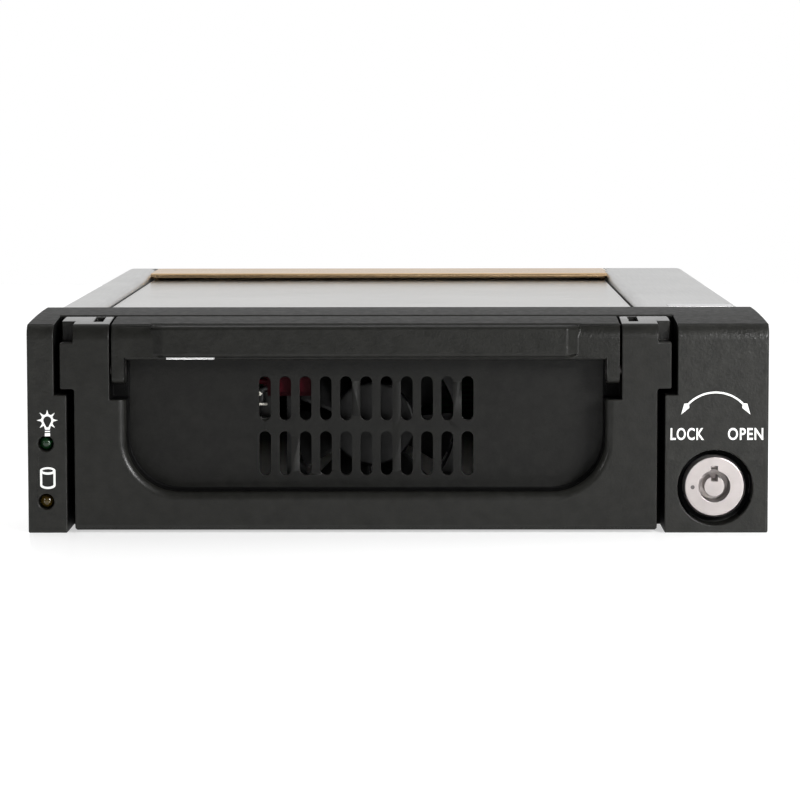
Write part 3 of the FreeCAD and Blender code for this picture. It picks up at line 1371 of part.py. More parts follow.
def drive_connector():
    """The receptacle that the drive plugs into, with its two contact tongues."""
    half = DRIVE_PLUG_W / 2
    z0 = PAN_FLOOR + GROMMET_T
    z1 = z0 + DRIVE_PLUG_H
    y0 = DRIVE_BACK
    body = block(DRIVE_PLUG_X - half, DRIVE_PLUG_X + half, y0, TRAY_BOARD_Y, z0, z1)
    wall = 1.2
    mouth_half = half - wall
    mouth_x = (DRIVE_PLUG_X - mouth_half, DRIVE_PLUG_X + mouth_half)
    mouth = block(*mouth_x, y0 - OVER, y0 + DRIVE_PLUG_MOUTH, z0 + wall, z1 - wall)
    mid = (z0 + z1) / 2
    tongues_x = ((-half + 2 * wall, -half + 12.5), (-half + 15.0, half - 2 * wall))
    plates = [block(DRIVE_PLUG_X + a, DRIVE_PLUG_X + b, y0 + wall, TRAY_BOARD_Y, mid - 0.5, mid + 0.5)
              for a, b in tongues_x]
    return fuse([body.cut(mouth)] + plates)


# ---------------------------------------------------------------- fan
def fan_axis_rod(radius, y0, y1):
    return rod(radius, (FAN_X, y0, FAN_Z), (0, 1, 0), y1 - y0)


BEARING_WALL = 1.4
MOTOR_R = 6.6


def fan_frame():
    """The square frame, its four rear struts, and the bearing tube they carry."""
    half = FAN_SIZE / 2
    y0, y1 = FAN_FRONT, FAN_BACK
    corners = [(FAN_X - half, FAN_Z - half), (FAN_X + half, FAN_Z - half),
               (FAN_X + half, FAN_Z + half), (FAN_X - half, FAN_Z + half)]
    frame = slab_xz(corners, (2.5,) * 4, y0, y1).cut(fan_axis_rod(FAN_BORE_R, y0 - OVER, y1 + OVER))
    disc = fan_axis_rod(HUB_R, y1 - STRUT_T, y1)
    bearing = fan_axis_rod(FAN_SHAFT_R + FIT + BEARING_WALL, y0 + 3 * OVER, y1)
    struts = []
    for i in range(4):
        z0, z1 = FAN_Z - STRUT_W / 2, FAN_Z + STRUT_W / 2
        arm = block(FAN_X, FAN_X + FAN_BORE_R + OVER / 2, y1 - STRUT_T, y1, z0, z1)
        arm.rotate(V(FAN_X, 0, FAN_Z), V(0, 1, 0), 90 * i + 20)
        struts.append(arm)
    bore = fan_axis_rod(FAN_SHAFT_R + FIT, y0, y1 + OVER)
    r = FAN_SCREW["shank_r"] + FIT
    holes = [rod(r, (x, y0 - OVER, z), (0, 1, 0), FAN_D + 2 * OVER) for x, z in fan_hole_places()]
    return cut(fuse([frame, disc, bearing] + struts), [bore] + holes)


def fan_stator():
    """The motor's coil pack on the bearing tube: a core with four poles."""
    y0, y1 = FAN_FRONT + 4 * OVER, FAN_BACK - STRUT_T
    r = FAN_SHAFT_R + FIT + BEARING_WALL + FIT
    core = fan_axis_rod(r + 1.5, y0, y1)
    poles = []
    for i in range(4):
        pole = block(FAN_X, FAN_X + MOTOR_R, y0 + 0.6, y1 - 0.6, FAN_Z - 1.6, FAN_Z + 1.6)
        pole.rotate(V(FAN_X, 0, FAN_Z), V(0, 1, 0), 90 * i)
        poles.append(pole)
    return fuse([core] + poles).cut(fan_axis_rod(r, y0 - OVER, y1 + OVER))


def blade(angle):
    """One twisted blade, lofted from its root in the hub to its tip."""
    front, back = FAN_FRONT + 1.2, FAN_BACK - STRUT_T - 0.8
    middle = (front + back) / 2
    sections = []
    for radius, pitch in ((HUB_R - 0.5, BLADE_ROOT_ANGLE), (BLADE_TIP_R, BLADE_TIP_ANGLE)):
        tilt = math.radians(pitch)
        half_depth = (back - front) / 2
        run = half_depth / math.tan(tilt)
        off_x, off_y = math.sin(tilt) * BLADE_T / 2, math.cos(tilt) * BLADE_T / 2
        edge = half_depth - off_y
        low_edge = half_depth + off_y - BLADE_T
        corners = [(run + off_x, edge), (run - off_x, low_edge), (-run - off_x, -edge), (-run + off_x, -low_edge)]
        points = [V(FAN_X + x, middle + y, FAN_Z + radius) for x, y in corners]
        sections.append(Part.makePolygon(points + points[:1]))
    shape = Part.makeLoft(sections, True, True)
    shape.rotate(V(FAN_X, 0, FAN_Z), V(0, 1, 0), angle)
    return shape


def fan_rotor():
    """The hub cup, its shaft and its ring of blades."""
    y0, y1 = FAN_FRONT + LOOSE, FAN_BACK - STRUT_T - LOOSE
    cup = fan_axis_rod(HUB_R, y0, y1).cut(fan_axis_rod(HUB_R - HUB_WALL, y0 + HUB_FRONT_T, y1 + OVER))
    rim = [e for e in cup.Edges if abs(e.BoundBox.YMax - y0) < TINY]
    cup = cup.makeFillet(0.6, rim)
    shaft = fan_axis_rod(FAN_SHAFT_R, y0 + OVER, FAN_BACK - LOOSE)
    blades = [blade(360 / BLADE_COUNT * i) for i in range(BLADE_COUNT)]
    sweep = fan_axis_rod(BLADE_TIP_R, y0, y1).cut(fan_axis_rod(HUB_R - 0.5, y0 - OVER, y1 + OVER))
    return fuse([cup, shaft] + [b.common(sweep) for b in blades])


def fan_screws():
    return group([pan_screw((x, FAN_BACK, z), (0, -1, 0), **FAN_SCREW) for x, z in fan_hole_places()])


WIRE_R = 0.6
LEAD_PITCH = 1.5
LEAD_BEND = 1.0
LEAD_RISE = 0.9  # above the plug


def fan_plug():
    """The fan's two-way plug, which stands on its seat behind the panel."""
    half = FAN_PLUG_W / 2
    return block(PLUG_SEAT_X - half, PLUG_SEAT_X + half, *FAN_PLUG_Y, PLUG_SEAT_Z, PLUG_SEAT_Z + FAN_PLUG_H)


def cable_socket():
    half = FAN_PLUG_W / 2 - 0.4
    y0 = FAN_PLUG_Y[1]
    y1 = y0 + CABLE_SOCKET_L
    return block(PLUG_SEAT_X - half, PLUG_SEAT_X + half, y0, y1, PLUG_SEAT_Z, PLUG_SEAT_Z + FAN_PLUG_H)


def fan_lead(step):
    """A lead from the fan frame's face, behind the panel, to the front of the plug."""
    y = POCKET_BACK + FAN_STANDOFF / 2
    start_x = FAN_X - FAN_SIZE / 2 + 2.2
    end_x = PLUG_SEAT_X + (0.5 - step) * LEAD_PITCH
    run_z = PLUG_SEAT_Z + FAN_PLUG_H + LEAD_RISE + LEAD_PITCH * step
    plug_z = PLUG_SEAT_Z + FAN_PLUG_H / 2
    route = [
        (start_x, FAN_FRONT, run_z),
        (start_x, y, run_z),
        (end_x, y, run_z),
        (end_x, y, plug_z),
        (end_x, FAN_PLUG_Y[0], plug_z),
    ]
    return tube(route, LEAD_BEND, WIRE_R)


def fan_lead_red():
    return fan_lead(1)


def fan_lead_black():
    return fan_lead(0)


def fan_cable():
    """From the cable socket, round in front of the drive and back along the pan's left side."""
    z = PLUG_SEAT_Z + FAN_PLUG_H / 2
    turn_y = LUG_BACK + CABLE_R + SLIDE
    side_x = bay(-PAN_W / 2 + TRAY_SHEET + CABLE_R + SLIDE)
    route = [
        (PLUG_SEAT_X, FAN_PLUG_Y[1] + CABLE_SOCKET_L, z),
        (PLUG_SEAT_X, turn_y, z),
        (side_x, turn_y, z),
        (side_x, TRAY_BOARD_Y, z),
    ]
    return tube(route, 2 * CABLE_R, CABLE_R)


# ---------------------------------------------------------------- export
PARTS = [
    outer_bezel, left_side_rail, right_side_rail, base_plate, rear_bridge, rear_panel, left_runner,
    right_runner, backplane_board, backplane_socket, backplane_standoffs, backplane_screws, power_inlet,
    power_pins, data_port, lock_housing, lock_nut, lock_sensor, sensor_board, sensor_cable, led_board,
    green_led, amber_led, led_cable, bezel_screws, base_rivets, bridge_rivets, panel_screws,
    lock_plug, lock_cam, cam_nut,
    tray_head, tray_pan, tray_cover, head_screws, cover_screws, handle_pins, drive_grommets, tray_board,
    board_screws, tray_plug, drive_connector, fan_frame, fan_stator, fan_screws, fan_plug, cable_socket,
    fan_lead_red, fan_lead_black, fan_cable,
    handle, fan_rotor,
]


def main():
    os.makedirs("parts", exist_ok=True)
    front, back = -GRIP_PROUD, BODY_D + POWER_PROUD
    to_middle = V(0, -(front + back) / 2, 0)
    for make in PARTS:
        shape = make()
        shape.translate(to_middle)
        shape.exportStep("parts/" + make.__name__ + ".step")


main()
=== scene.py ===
"""The looks of the hot swap drive cage: materials, printed marks, small details, floor, lights and camera.

Metres. The frame has X to the right seen from the front, Y to the rear and Z up, and the bezel's face
looks along -Y. Sizes written with MM are in millimetres.
"""
import json
import math

import bmesh
import bpy
from mathutils import Matrix, Vector

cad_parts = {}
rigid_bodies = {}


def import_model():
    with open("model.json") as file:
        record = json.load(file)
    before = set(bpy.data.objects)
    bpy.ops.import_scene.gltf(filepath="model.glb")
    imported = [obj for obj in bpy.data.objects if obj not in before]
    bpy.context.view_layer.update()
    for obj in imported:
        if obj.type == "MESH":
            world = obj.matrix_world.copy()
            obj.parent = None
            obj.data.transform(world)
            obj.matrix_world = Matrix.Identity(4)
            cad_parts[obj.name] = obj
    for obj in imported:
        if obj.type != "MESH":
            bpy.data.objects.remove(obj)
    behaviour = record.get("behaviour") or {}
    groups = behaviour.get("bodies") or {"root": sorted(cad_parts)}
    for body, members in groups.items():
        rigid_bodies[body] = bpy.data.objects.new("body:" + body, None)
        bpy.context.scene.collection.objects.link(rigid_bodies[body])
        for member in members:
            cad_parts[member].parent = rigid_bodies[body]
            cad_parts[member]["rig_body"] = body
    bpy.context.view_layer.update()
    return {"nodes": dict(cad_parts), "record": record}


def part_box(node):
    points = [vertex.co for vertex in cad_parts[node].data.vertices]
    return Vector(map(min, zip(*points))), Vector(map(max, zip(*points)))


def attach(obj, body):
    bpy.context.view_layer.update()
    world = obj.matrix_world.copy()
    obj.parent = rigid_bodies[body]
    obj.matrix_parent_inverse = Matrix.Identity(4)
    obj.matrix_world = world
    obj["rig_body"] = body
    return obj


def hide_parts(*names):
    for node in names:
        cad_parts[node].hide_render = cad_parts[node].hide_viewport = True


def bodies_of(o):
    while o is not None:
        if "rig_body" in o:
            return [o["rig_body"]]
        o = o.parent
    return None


MM = 0.001

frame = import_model()
nodes = frame["nodes"]
slot_of = {entry["node"]: entry["material_slot"] for entry in frame["record"]["subparts"]}
body_of = {name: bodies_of(obj)[0] for name, obj in nodes.items()}

# ---------------------------------------------------------------- camera
CAMERA_AT = Vector((0.00634, -0.76735, 0.08623))
CAMERA_LOOKS = Vector((-0.008791, 0.995959, -0.089375))
CAMERA_ROLL = math.radians(-0.086)
CAMERA_LENS = 150.3  # mm, on a 36 mm sensor


def add_camera():
    data = bpy.data.cameras.new("camera")
    data.lens = CAMERA_LENS
    data.sensor_width = 36.0
    data.clip_start = 0.01
    data.clip_end = 50.0
    camera = bpy.data.objects.new("camera", data)
    bpy.context.scene.collection.objects.link(camera)
    turn = CAMERA_LOOKS.to_track_quat("-Z", "Y").to_matrix() @ Matrix.Rotation(CAMERA_ROLL, 3, "Z")
    camera.matrix_world = Matrix.Translation(CAMERA_AT) @ turn.to_4x4()
    bpy.context.scene.camera = camera


# ---------------------------------------------------------------- node helpers
NOISE_SPAN = (0.3, 0.7)  # where nearly all of a noise texture's values lie


class Nodes:
    """Builds one material's node tree in short calls."""

    def __init__(self, name):
        self.material = bpy.data.materials.new(name)
        self.material.use_nodes = True
        self.tree = self.material.node_tree
        self.shader = self.tree.nodes["Principled BSDF"]
        self.place = self.add("ShaderNodeTexCoord").outputs["Object"]

    def add(self, kind, **values):
        node = self.tree.nodes.new(kind)
        for name, value in values.items():
            setattr(node, name, value)
        return node

    def link(self, source, target):
        self.tree.links.new(source, target)

    def stretched(self, scale):
        """The object coordinates, scaled per axis."""
        mapping = self.add("ShaderNodeMapping")
        mapping.inputs["Scale"].default_value = scale
        self.link(self.place, mapping.inputs["Vector"])
        return mapping.outputs["Vector"]

    def noise(self, scale, detail=2.0, roughness=0.5, vector=None):
        node = self.add("ShaderNodeTexNoise")
        node.inputs["Scale"].default_value = scale
        node.inputs["Detail"].default_value = detail
        node.inputs["Roughness"].default_value = roughness
        self.link(vector or self.place, node.inputs["Vector"])
        return node.outputs["Fac"]

    def cells(self, scale):
        node = self.add("ShaderNodeTexVoronoi")
        node.inputs["Scale"].default_value = scale
        self.link(self.place, node.inputs["Vector"])
        return node.outputs["Distance"]

    def spread(self, value, low, high):
        """Maps a noise value's usual span onto low to high."""
        node = self.add("ShaderNodeMapRange")
        node.inputs["From Min"].default_value = NOISE_SPAN[0]
        node.inputs["From Max"].default_value = NOISE_SPAN[1]
        node.inputs["To Min"].default_value = low
        node.inputs["To Max"].default_value = high
        self.link(value, node.inputs["Value"])
        return node.outputs["Result"]

    def colours(self, value, low, high):
        """Mixes two colours, or a colour over a socket, by a value."""
        node = self.add("ShaderNodeMix", data_type="RGBA")
        for side, colour in ((node.inputs["A"], low), (node.inputs["B"], high)):
            if isinstance(colour, tuple):
                side.default_value = (*colour, 1.0)
            else:
                self.link(colour, side)
        self.link(value, node.inputs["Factor"])
        return node.outputs["Result"]

    def bump(self, layers):
        """Chains (height, strength, distance) layers into the shader's normal."""
        normal = None
        for height, strength, distance in layers:
            node = self.add("ShaderNodeBump")
            node.inputs["Strength"].default_value = strength
            node.inputs["Distance"].default_value = distance
            self.link(height, node.inputs["Height"])
            if normal:
                self.link(normal, node.inputs["Normal"])
            normal = node.outputs["Normal"]
        self.link(normal, self.shader.inputs["Normal"])

    def colour(self, socket):
        self.link(socket, self.shader.inputs["Base Color"])

    def roughness(self, socket):
        self.link(socket, self.shader.inputs["Roughness"])

    def set(self, **values):
        for name, value in values.items():
            self.shader.inputs[name.replace("_", " ")].default_value = value


# ---------------------------------------------------------------- materials
GRAIN_SIZE = 0.5 * MM
LINE_SCALE = 0.03  # the noise's scale along a sheet's rolling direction, which draws it out into lines


def plastic(name, low, high, rough, grain, sheen=0.5):
    """Moulded plastic: mottled tone, a fine spark-eroded grain and slightly uneven gloss."""
    m = Nodes(name)
    m.colour(m.colours(m.spread(m.noise(420.0, 5.0, 0.65), 0.0, 1.0), low, high))
    m.roughness(m.spread(m.noise(700.0, 3.0), rough[0], rough[1]))
    fine = m.noise(1.0 / GRAIN_SIZE, 2.0, 0.6)
    pits = m.cells(0.7 / GRAIN_SIZE)
    peel = m.noise(650.0, 3.0, 0.6)
    m.bump([(fine, grain, 0.12 * MM), (pits, grain * 0.6, 0.08 * MM), (peel, grain * 0.35, 0.35 * MM)])
    m.set(Specular_IOR_Level=sheen)
    return m.material


def rolled_metal(name, low, high, rough, along, strength):
    """Sheet or extruded metal: fine lines along one axis, cloudy tone and slight waviness."""
    m = Nodes(name)
    scale = [1.0, 1.0, 1.0]
    scale[along] = LINE_SCALE
    lines = m.noise(2200.0, 3.0, 0.6, m.stretched(scale))
    m.colour(m.colours(m.spread(m.noise(30.0, 3.0), 0.0, 1.0), low, high))
    m.roughness(m.spread(lines, rough[0], rough[1]))
    m.bump([(lines, strength, 0.03 * MM), (m.noise(9.0, 1.0), 0.04, 0.6 * MM)])
    m.set(Metallic=1.0)
    return m.material


def turned_metal(name, colour, worn, rough):
    """Plated small metal parts: a finely pitted plating with slightly dull patches."""
    m = Nodes(name)
    m.colour(m.colours(m.spread(m.noise(260.0, 4.0), 0.0, 1.0), colour, worn))
    m.roughness(m.spread(m.noise(900.0, 3.0), rough[0], rough[1]))
    m.bump([(m.noise(2600.0, 2.0), 0.12, 0.03 * MM)])
    m.set(Metallic=1.0)
    return m.material


def lens(name, colour, deep):
    """The tinted epoxy lens of a light that is off."""
    m = Nodes(name)
    m.colour(m.colours(m.spread(m.noise(900.0, 2.0), 0.0, 1.0), colour, deep))
    m.roughness(m.spread(m.noise(700.0, 2.0), 0.08, 0.16))
    m.bump([(m.noise(800.0, 2.0), 0.05, 0.03 * MM)])
    m.set(IOR=1.5, Transmission_Weight=0.55)
    return m.material


def circuit_board():
    """Green solder mask over copper runs that show as slightly raised, lighter lines."""
    m = Nodes("circuit_board")
    runs = m.add("ShaderNodeTexBrick")
    runs.inputs["Scale"].default_value = 1.0
    runs.inputs["Mortar Size"].default_value = 0.28 * MM
    runs.inputs["Brick Width"].default_value = 7.0 * MM
    runs.inputs["Row Height"].default_value = 1.3 * MM
    runs.inputs["Mortar Smooth"].default_value = 0.2
    turned = m.add("ShaderNodeMapping")
    turned.inputs["Rotation"].default_value = (math.radians(90.0), 0.0, 0.0)
    m.link(m.place, turned.inputs["Vector"])
    m.link(turned.outputs["Vector"], runs.inputs["Vector"])
    mask = m.colours(m.spread(m.noise(80.0, 3.0), 0.0, 1.0), (0.006, 0.075, 0.026), (0.009, 0.10, 0.036))
    m.colour(m.colours(runs.outputs["Fac"], mask, (0.022, 0.19, 0.075)))
    m.roughness(m.spread(m.noise(300.0, 2.0), 0.26, 0.38))
    m.bump([(runs.outputs["Fac"], 0.35, 0.05 * MM), (m.noise(900.0, 2.0), 0.08, 0.03 * MM)])
    m.set(Specular_IOR_Level=0.6)
    return m.material


def sheath(name, low, high, rough, sheen=0.5):
    """Soft extruded insulation with a faint waviness."""
    m = Nodes(name)
    m.colour(m.colours(m.spread(m.noise(200.0, 3.0), 0.0, 1.0), low, high))
    m.roughness(m.spread(m.noise(500.0, 2.0), rough[0], rough[1]))
    m.bump([(m.noise(900.0, 2.0), 0.2, 0.05 * MM)])
    m.set(Specular_IOR_Level=sheen)
    return m.material


def paper(name, low, high):
    """Label stock or printed ink: nearly white, finely fibrous."""
    m = Nodes(name)
    m.colour(m.colours(m.spread(m.noise(700.0, 4.0), 0.0, 1.0), low, high))
    m.roughness(m.spread(m.noise(900.0, 3.0), 0.45, 0.6))
    m.bump([(m.noise(2400.0, 3.0), 0.15, 0.02 * MM)])
    return m.material


# Each table gives its maker's values after the name, in the maker's order.
PLASTICS = {
    "black_plastic": ((0.008, 0.008, 0.007), (0.016, 0.016, 0.014), (0.30, 0.40), 0.42, 0.28),
    "satin_plastic": ((0.007, 0.007, 0.006), (0.012, 0.012, 0.0105), (0.28, 0.36), 0.22, 0.26),
    "grip_plastic": ((0.006, 0.006, 0.005), (0.012, 0.012, 0.0105), (0.30, 0.40), 0.42, 0.22),
    # painted shade: the darker plastic of the finger pocket's pierced wall
    "pocket_plastic": ((0.005, 0.005, 0.0045), (0.009, 0.009, 0.008), (0.30, 0.38), 0.22, 0.20),
    # painted shade: the duller, less reflective plastic of the bezel's and the handle's upward faces
    "crown_plastic": ((0.006, 0.006, 0.005), (0.012, 0.012, 0.0105), (0.46, 0.56), 0.42, 0.16),
    # painted shade: the darker, duller plastic of the walls inside the mouldings' openings
    "recess_plastic": ((0.003, 0.003, 0.003), (0.005, 0.005, 0.005), (0.45, 0.60), 0.20, 0.05),
    # partly painted light: a smoother plastic, lighter in colour, for the tray head's tops
    "polished_plastic": ((0.014, 0.014, 0.013), (0.018, 0.018, 0.016), (0.10, 0.16), 0.05),
    "fan_plastic": ((0.008, 0.008, 0.008), (0.012, 0.012, 0.012), (0.34, 0.46), 0.10, 0.25),
    "nylon": ((0.62, 0.60, 0.54), (0.70, 0.68, 0.61), (0.36, 0.46), 0.12),
    "chip": ((0.010, 0.010, 0.010), (0.016, 0.016, 0.016), (0.30, 0.42), 0.12),
    "capacitor_sleeve": ((0.010, 0.014, 0.035), (0.014, 0.020, 0.045), (0.22, 0.32), 0.06),
}
ROLLED_METALS = {
    "aluminium": ((0.60, 0.60, 0.595), (0.68, 0.68, 0.675), (0.28, 0.38), 1, 0.25),
    "cover_metal": ((0.55, 0.545, 0.53), (0.62, 0.615, 0.60), (0.16, 0.24), 0, 0.20),
    "panel_metal": ((0.46, 0.46, 0.455), (0.54, 0.54, 0.535), (0.30, 0.42), 0, 0.30),
    "gold_sheet": ((0.66, 0.45, 0.25), (0.76, 0.54, 0.32), (0.20, 0.30), 0, 0.15),
}
TURNED_METALS = {
    "lock_metal": ((0.52, 0.48, 0.47), (0.45, 0.415, 0.405), (0.30, 0.42)),
    # painted shade: the rougher metal of another tone on the lock's faces behind its front
    "lock_recess_metal": ((0.62, 0.58, 0.57), (0.50, 0.47, 0.46), (0.45, 0.60)),
    "steel": ((0.58, 0.57, 0.55), (0.50, 0.49, 0.47), (0.22, 0.36)),
    # a dark steel; on the handle pins it paints the shade of the gaps they sit in
    "dull_steel": ((0.16, 0.15, 0.15), (0.12, 0.11, 0.11), (0.40, 0.55)),
    "contact_brass": ((0.80, 0.58, 0.25), (0.70, 0.48, 0.19), (0.20, 0.32)),
}
LENSES = {
    "green_lens": ((0.008, 0.060, 0.014), (0.003, 0.022, 0.006)),
    "amber_lens": ((0.11, 0.070, 0.005), (0.04, 0.022, 0.003)),
}
SHEATHS = {
    "cable_sheath": ((0.020, 0.020, 0.021), (0.032, 0.032, 0.033), (0.40, 0.55)),
    "red_sheath": ((0.024, 0.001, 0.003), (0.034, 0.001, 0.004), (0.40, 0.52), 0.06),
    "grommet_rubber": ((0.014, 0.014, 0.014), (0.024, 0.024, 0.024), (0.60, 0.75)),
}
PAPERS = {
    "white_ink": ((0.84, 0.84, 0.82), (0.90, 0.90, 0.88)),
    "white_label": ((0.82, 0.82, 0.82), (0.88, 0.88, 0.88)),
}
MAKERS = (
    (plastic, PLASTICS),
    (rolled_metal, ROLLED_METALS),
    (turned_metal, TURNED_METALS),
    (lens, LENSES),
    (sheath, SHEATHS),
    (paper, PAPERS),
)


def make_materials():
    """All materials by name; the frame's own ones go first, so that no name is taken."""
    for old in list(bpy.data.materials):
        bpy.data.materials.remove(old)
    made = {"circuit_board": circuit_board()}
    for maker, table in MAKERS:
        for name, values in table.items():
            made[name] = maker(name, *values)
    return made


# Nodes whose finish is a variety of their slot's.
FINISH = {
    "tray_head": "satin_plastic",
    "handle": "grip_plastic",
    "tray_cover": "cover_metal",
    "tray_pan": "panel_metal",
    "rear_panel": "panel_metal",
    "base_plate": "panel_metal",
    # painted shade: the handle pins in the gaps beside the arms are darkened to the gaps' shade
    "handle_pins": "dull_steel",
    "fan_plug": "satin_plastic",
    "cable_socket": "satin_plastic",
    "fan_frame": "fan_plastic",
    "fan_rotor": "fan_plastic",
}


def assign(obj, material):
    obj.data.materials.clear()
    obj.data.materials.append(material)


# ---------------------------------------------------------------- shape helpers
def link_new(name, mesh):
    obj = bpy.data.objects.new(name, mesh)
    bpy.context.scene.collection.objects.link(obj)
    return obj


def applied(obj, name):
    """The object's mesh with its modifiers, or its curve turned into a mesh, as a new mesh."""
    graph = bpy.context.evaluated_depsgraph_get()
    mesh = bpy.data.meshes.new_from_object(obj.evaluated_get(graph))
    mesh.name = name
    return mesh


WELD = 0.002 * MM
FLAT = math.radians(0.6)  # faces that meet at less than this become one
SHARP = math.radians(28.0)
EDGE_STEPS = 2  # faces across each rounded edge
CAN_SIDES = 48
POCKET_DEPTH = 8.0 * MM  # from the tray head's front to its pierced wall, whose slots stay crisp

SOFTENED = {  # the width of each moulding's and sheet's broken edges
    "outer_bezel": 0.28 * MM,
    "tray_head": 0.25 * MM,
    "handle": 0.25 * MM,
    "lock_housing": 0.12 * MM,
    "lock_plug": 0.08 * MM,
    "left_side_rail": 0.15 * MM,
    "right_side_rail": 0.15 * MM,
    "tray_cover": 0.12 * MM,
    "rear_bridge": 0.15 * MM,
    "rear_panel": 0.12 * MM,
}


def mark_edges(shape, crisp_y):
    """Weights the sharp edges for bevelling, except those in the plane y = crisp_y."""
    weights = shape.edges.layers.float.new("bevel_weight_edge")
    for edge in shape.edges:
        is_sharp = edge.calc_face_angle(0.0) > SHARP
        is_crisp = all(abs(vert.co.y - crisp_y) < WELD for vert in edge.verts)
        edge[weights] = 1.0 if is_sharp and not is_crisp else 0.0
        edge.smooth = not (is_sharp and is_crisp)


def softened(node, width):
    """A copy of a CAD node with its sharp edges broken, which stands in for the node."""
    mesh = nodes[node].data.copy()
    shape = bmesh.new()
    shape.from_mesh(mesh)
    bmesh.ops.remove_doubles(shape, verts=shape.verts, dist=WELD)
    bmesh.ops.dissolve_limit(shape, angle_limit=FLAT, verts=shape.verts, edges=shape.edges)
    for face in shape.faces:
        face.smooth = True
    mark_edges(shape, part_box("tray_head")[0][1] + POCKET_DEPTH)
    shape.to_mesh(mesh)
    shape.free()
    draft = link_new(node + "_draft", mesh)
    bevel = draft.modifiers.new("edges", "BEVEL")
    bevel.width = width
    bevel.segments = EDGE_STEPS
    bevel.limit_method = "WEIGHT"
    bevel.use_clamp_overlap = False
    draft.modifiers.new("normals", "WEIGHTED_NORMAL")
    obj = link_new(node + "_moulded", applied(draft, node + "_moulded"))
    bpy.data.objects.remove(draft)
    assign(obj, materials[FINISH.get(node, slot_of[node])])
    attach(obj, body_of[node])
    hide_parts(node)
    return obj


SHADED_WALLS = {  # the walls that get painted shade: their inset from a moulding's sides, and how far behind its front they begin and end
    "tray_head": (2.0 * MM, 1.2 * MM, POCKET_DEPTH - 0.1 * MM),
    "outer_bezel": (3.5 * MM, 0.5 * MM, 30.0 * MM),
}
TOPS_DEPTH = 1.5 * MM  # how far down the tray head its smoother, painted-light top faces lie
LOCK_FACE_DEPTH = 0.3 * MM  # how far behind its front a lock part's face still counts as polished


def finish_faces(obj, material, is_chosen):
    """Gives the chosen faces a finish of their own."""
    obj.data.materials.append(materials[material])
    for face in obj.data.polygons:
        if is_chosen(face):
            face.material_index = len(obj.data.materials) - 1


def polish_and_light_tops(head):
    """The tray head's upward faces at its top are smoother than its grained front and lighter in colour:
    painted light on the tops.
    """
    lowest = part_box("tray_head")[1][2] - TOPS_DEPTH
    finish_faces(head, "polished_plastic", lambda face: face.normal.z > 0.9 and face.center.z > lowest)


def shade_crown(obj):
    """The upward faces of the bezel's and the handle's falling top get a duller, less reflective plastic:
    painted shade on the tops.
    """
    finish_faces(obj, "crown_plastic", lambda face: face.normal.z > 0.8)


def shade_recesses(obj, node):
    """Paints shade on the walls inside a moulding's openings: a darker, duller plastic."""
    inset, near, far = SHADED_WALLS[node]
    low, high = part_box(node)

    def is_inside(face):
        x, y, z = face.center
        is_deep = low[1] + near < y < low[1] + far
        is_within = low[0] + inset < x < high[0] - inset and low[2] + inset < z < high[2] - inset
        return is_deep and is_within

    finish_faces(obj, "recess_plastic", is_inside)


def shade_pocket_wall(head):
    """Paints shade on the pierced wall at the back of the finger pocket: a darker, less glossy plastic
    than the head's front.
    """
    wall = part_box("tray_head")[0][1] + POCKET_DEPTH

    def is_wall(face):
        return face.normal.y < -0.9 and abs(face.center.y - wall) < 0.1 * MM

    finish_faces(head, "pocket_plastic", is_wall)


def shade_lock_inside(obj):
    """The lock's parts are rougher behind their polished face, in a metal of another tone: painted shade
    for the keyway.
    """
    front = min(vert.co.y for vert in obj.data.vertices)
    finish_faces(obj, "lock_recess_metal", lambda face: face.center.y > front + LOCK_FACE_DEPTH)


def flat_mesh(name, loops, thickness):
    """A thin sheet whose outline and holes are the given closed loops of (x, z), facing -Y."""
    data = bpy.data.curves.new(name, "CURVE")
    data.dimensions = "2D"
    data.fill_mode = "BOTH"
    data.extrude = thickness / 2
    for loop in loops:
        spline = data.splines.new("POLY")
        spline.points.add(len(loop) - 1)
        for point, (x, z) in zip(spline.points, loop):
            point.co = (x, z, 0.0, 1.0)
        spline.use_cyclic_u = True
    return stood_up(name, data)


def stood_up(name, data):
    """A flat curve or text turned into a closed mesh that faces -Y."""
    draft = link_new(name + "_draft", data)
    mesh = applied(draft, name)
    bpy.data.objects.remove(draft)
    mesh.transform(Matrix.Rotation(math.radians(90.0), 4, "X"))
    shape = bmesh.new()
    shape.from_mesh(mesh)
    bmesh.ops.remove_doubles(shape, verts=shape.verts, dist=WELD)
    bmesh.ops.recalc_face_normals(shape, faces=shape.faces)
    shape.to_mesh(mesh)
    shape.free()
    return mesh


def arc(centre, radii, start, end, count):
    """Points on an ellipse's arc, angles in degrees."""
    points = []
    for i in range(count):
        angle = math.radians(start + (end - start) * i / (count - 1))
        points.append((centre[0] + radii[0] * math.cos(angle), centre[1] + radii[1] * math.sin(angle)))
    return points


def piece(name, shape, material, body):
    """Turns a bmesh, made in mm, into a piece that rides a body."""
    mesh = bpy.data.meshes.new(name)
    bmesh.ops.scale(shape, vec=(MM, MM, MM), verts=shape.verts)
    shape.to_mesh(mesh)
    shape.free()
    obj = link_new(name, mesh)
    assign(obj, materials[material])
    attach(obj, body)


def add_box(name, low, high, edge, material, body):
    """A box between two corners in mm with its edges rounded."""
    shape = bmesh.new()
    bmesh.ops.create_cube(shape, size=1.0)
    for vert in shape.verts:
        vert.co = [low[i] + (vert.co[i] + 0.5) * (high[i] - low[i]) for i in range(3)]
    bmesh.ops.bevel(shape, geom=shape.edges[:], offset=edge, segments=EDGE_STEPS, affect="EDGES")
    piece(name, shape, material, body)


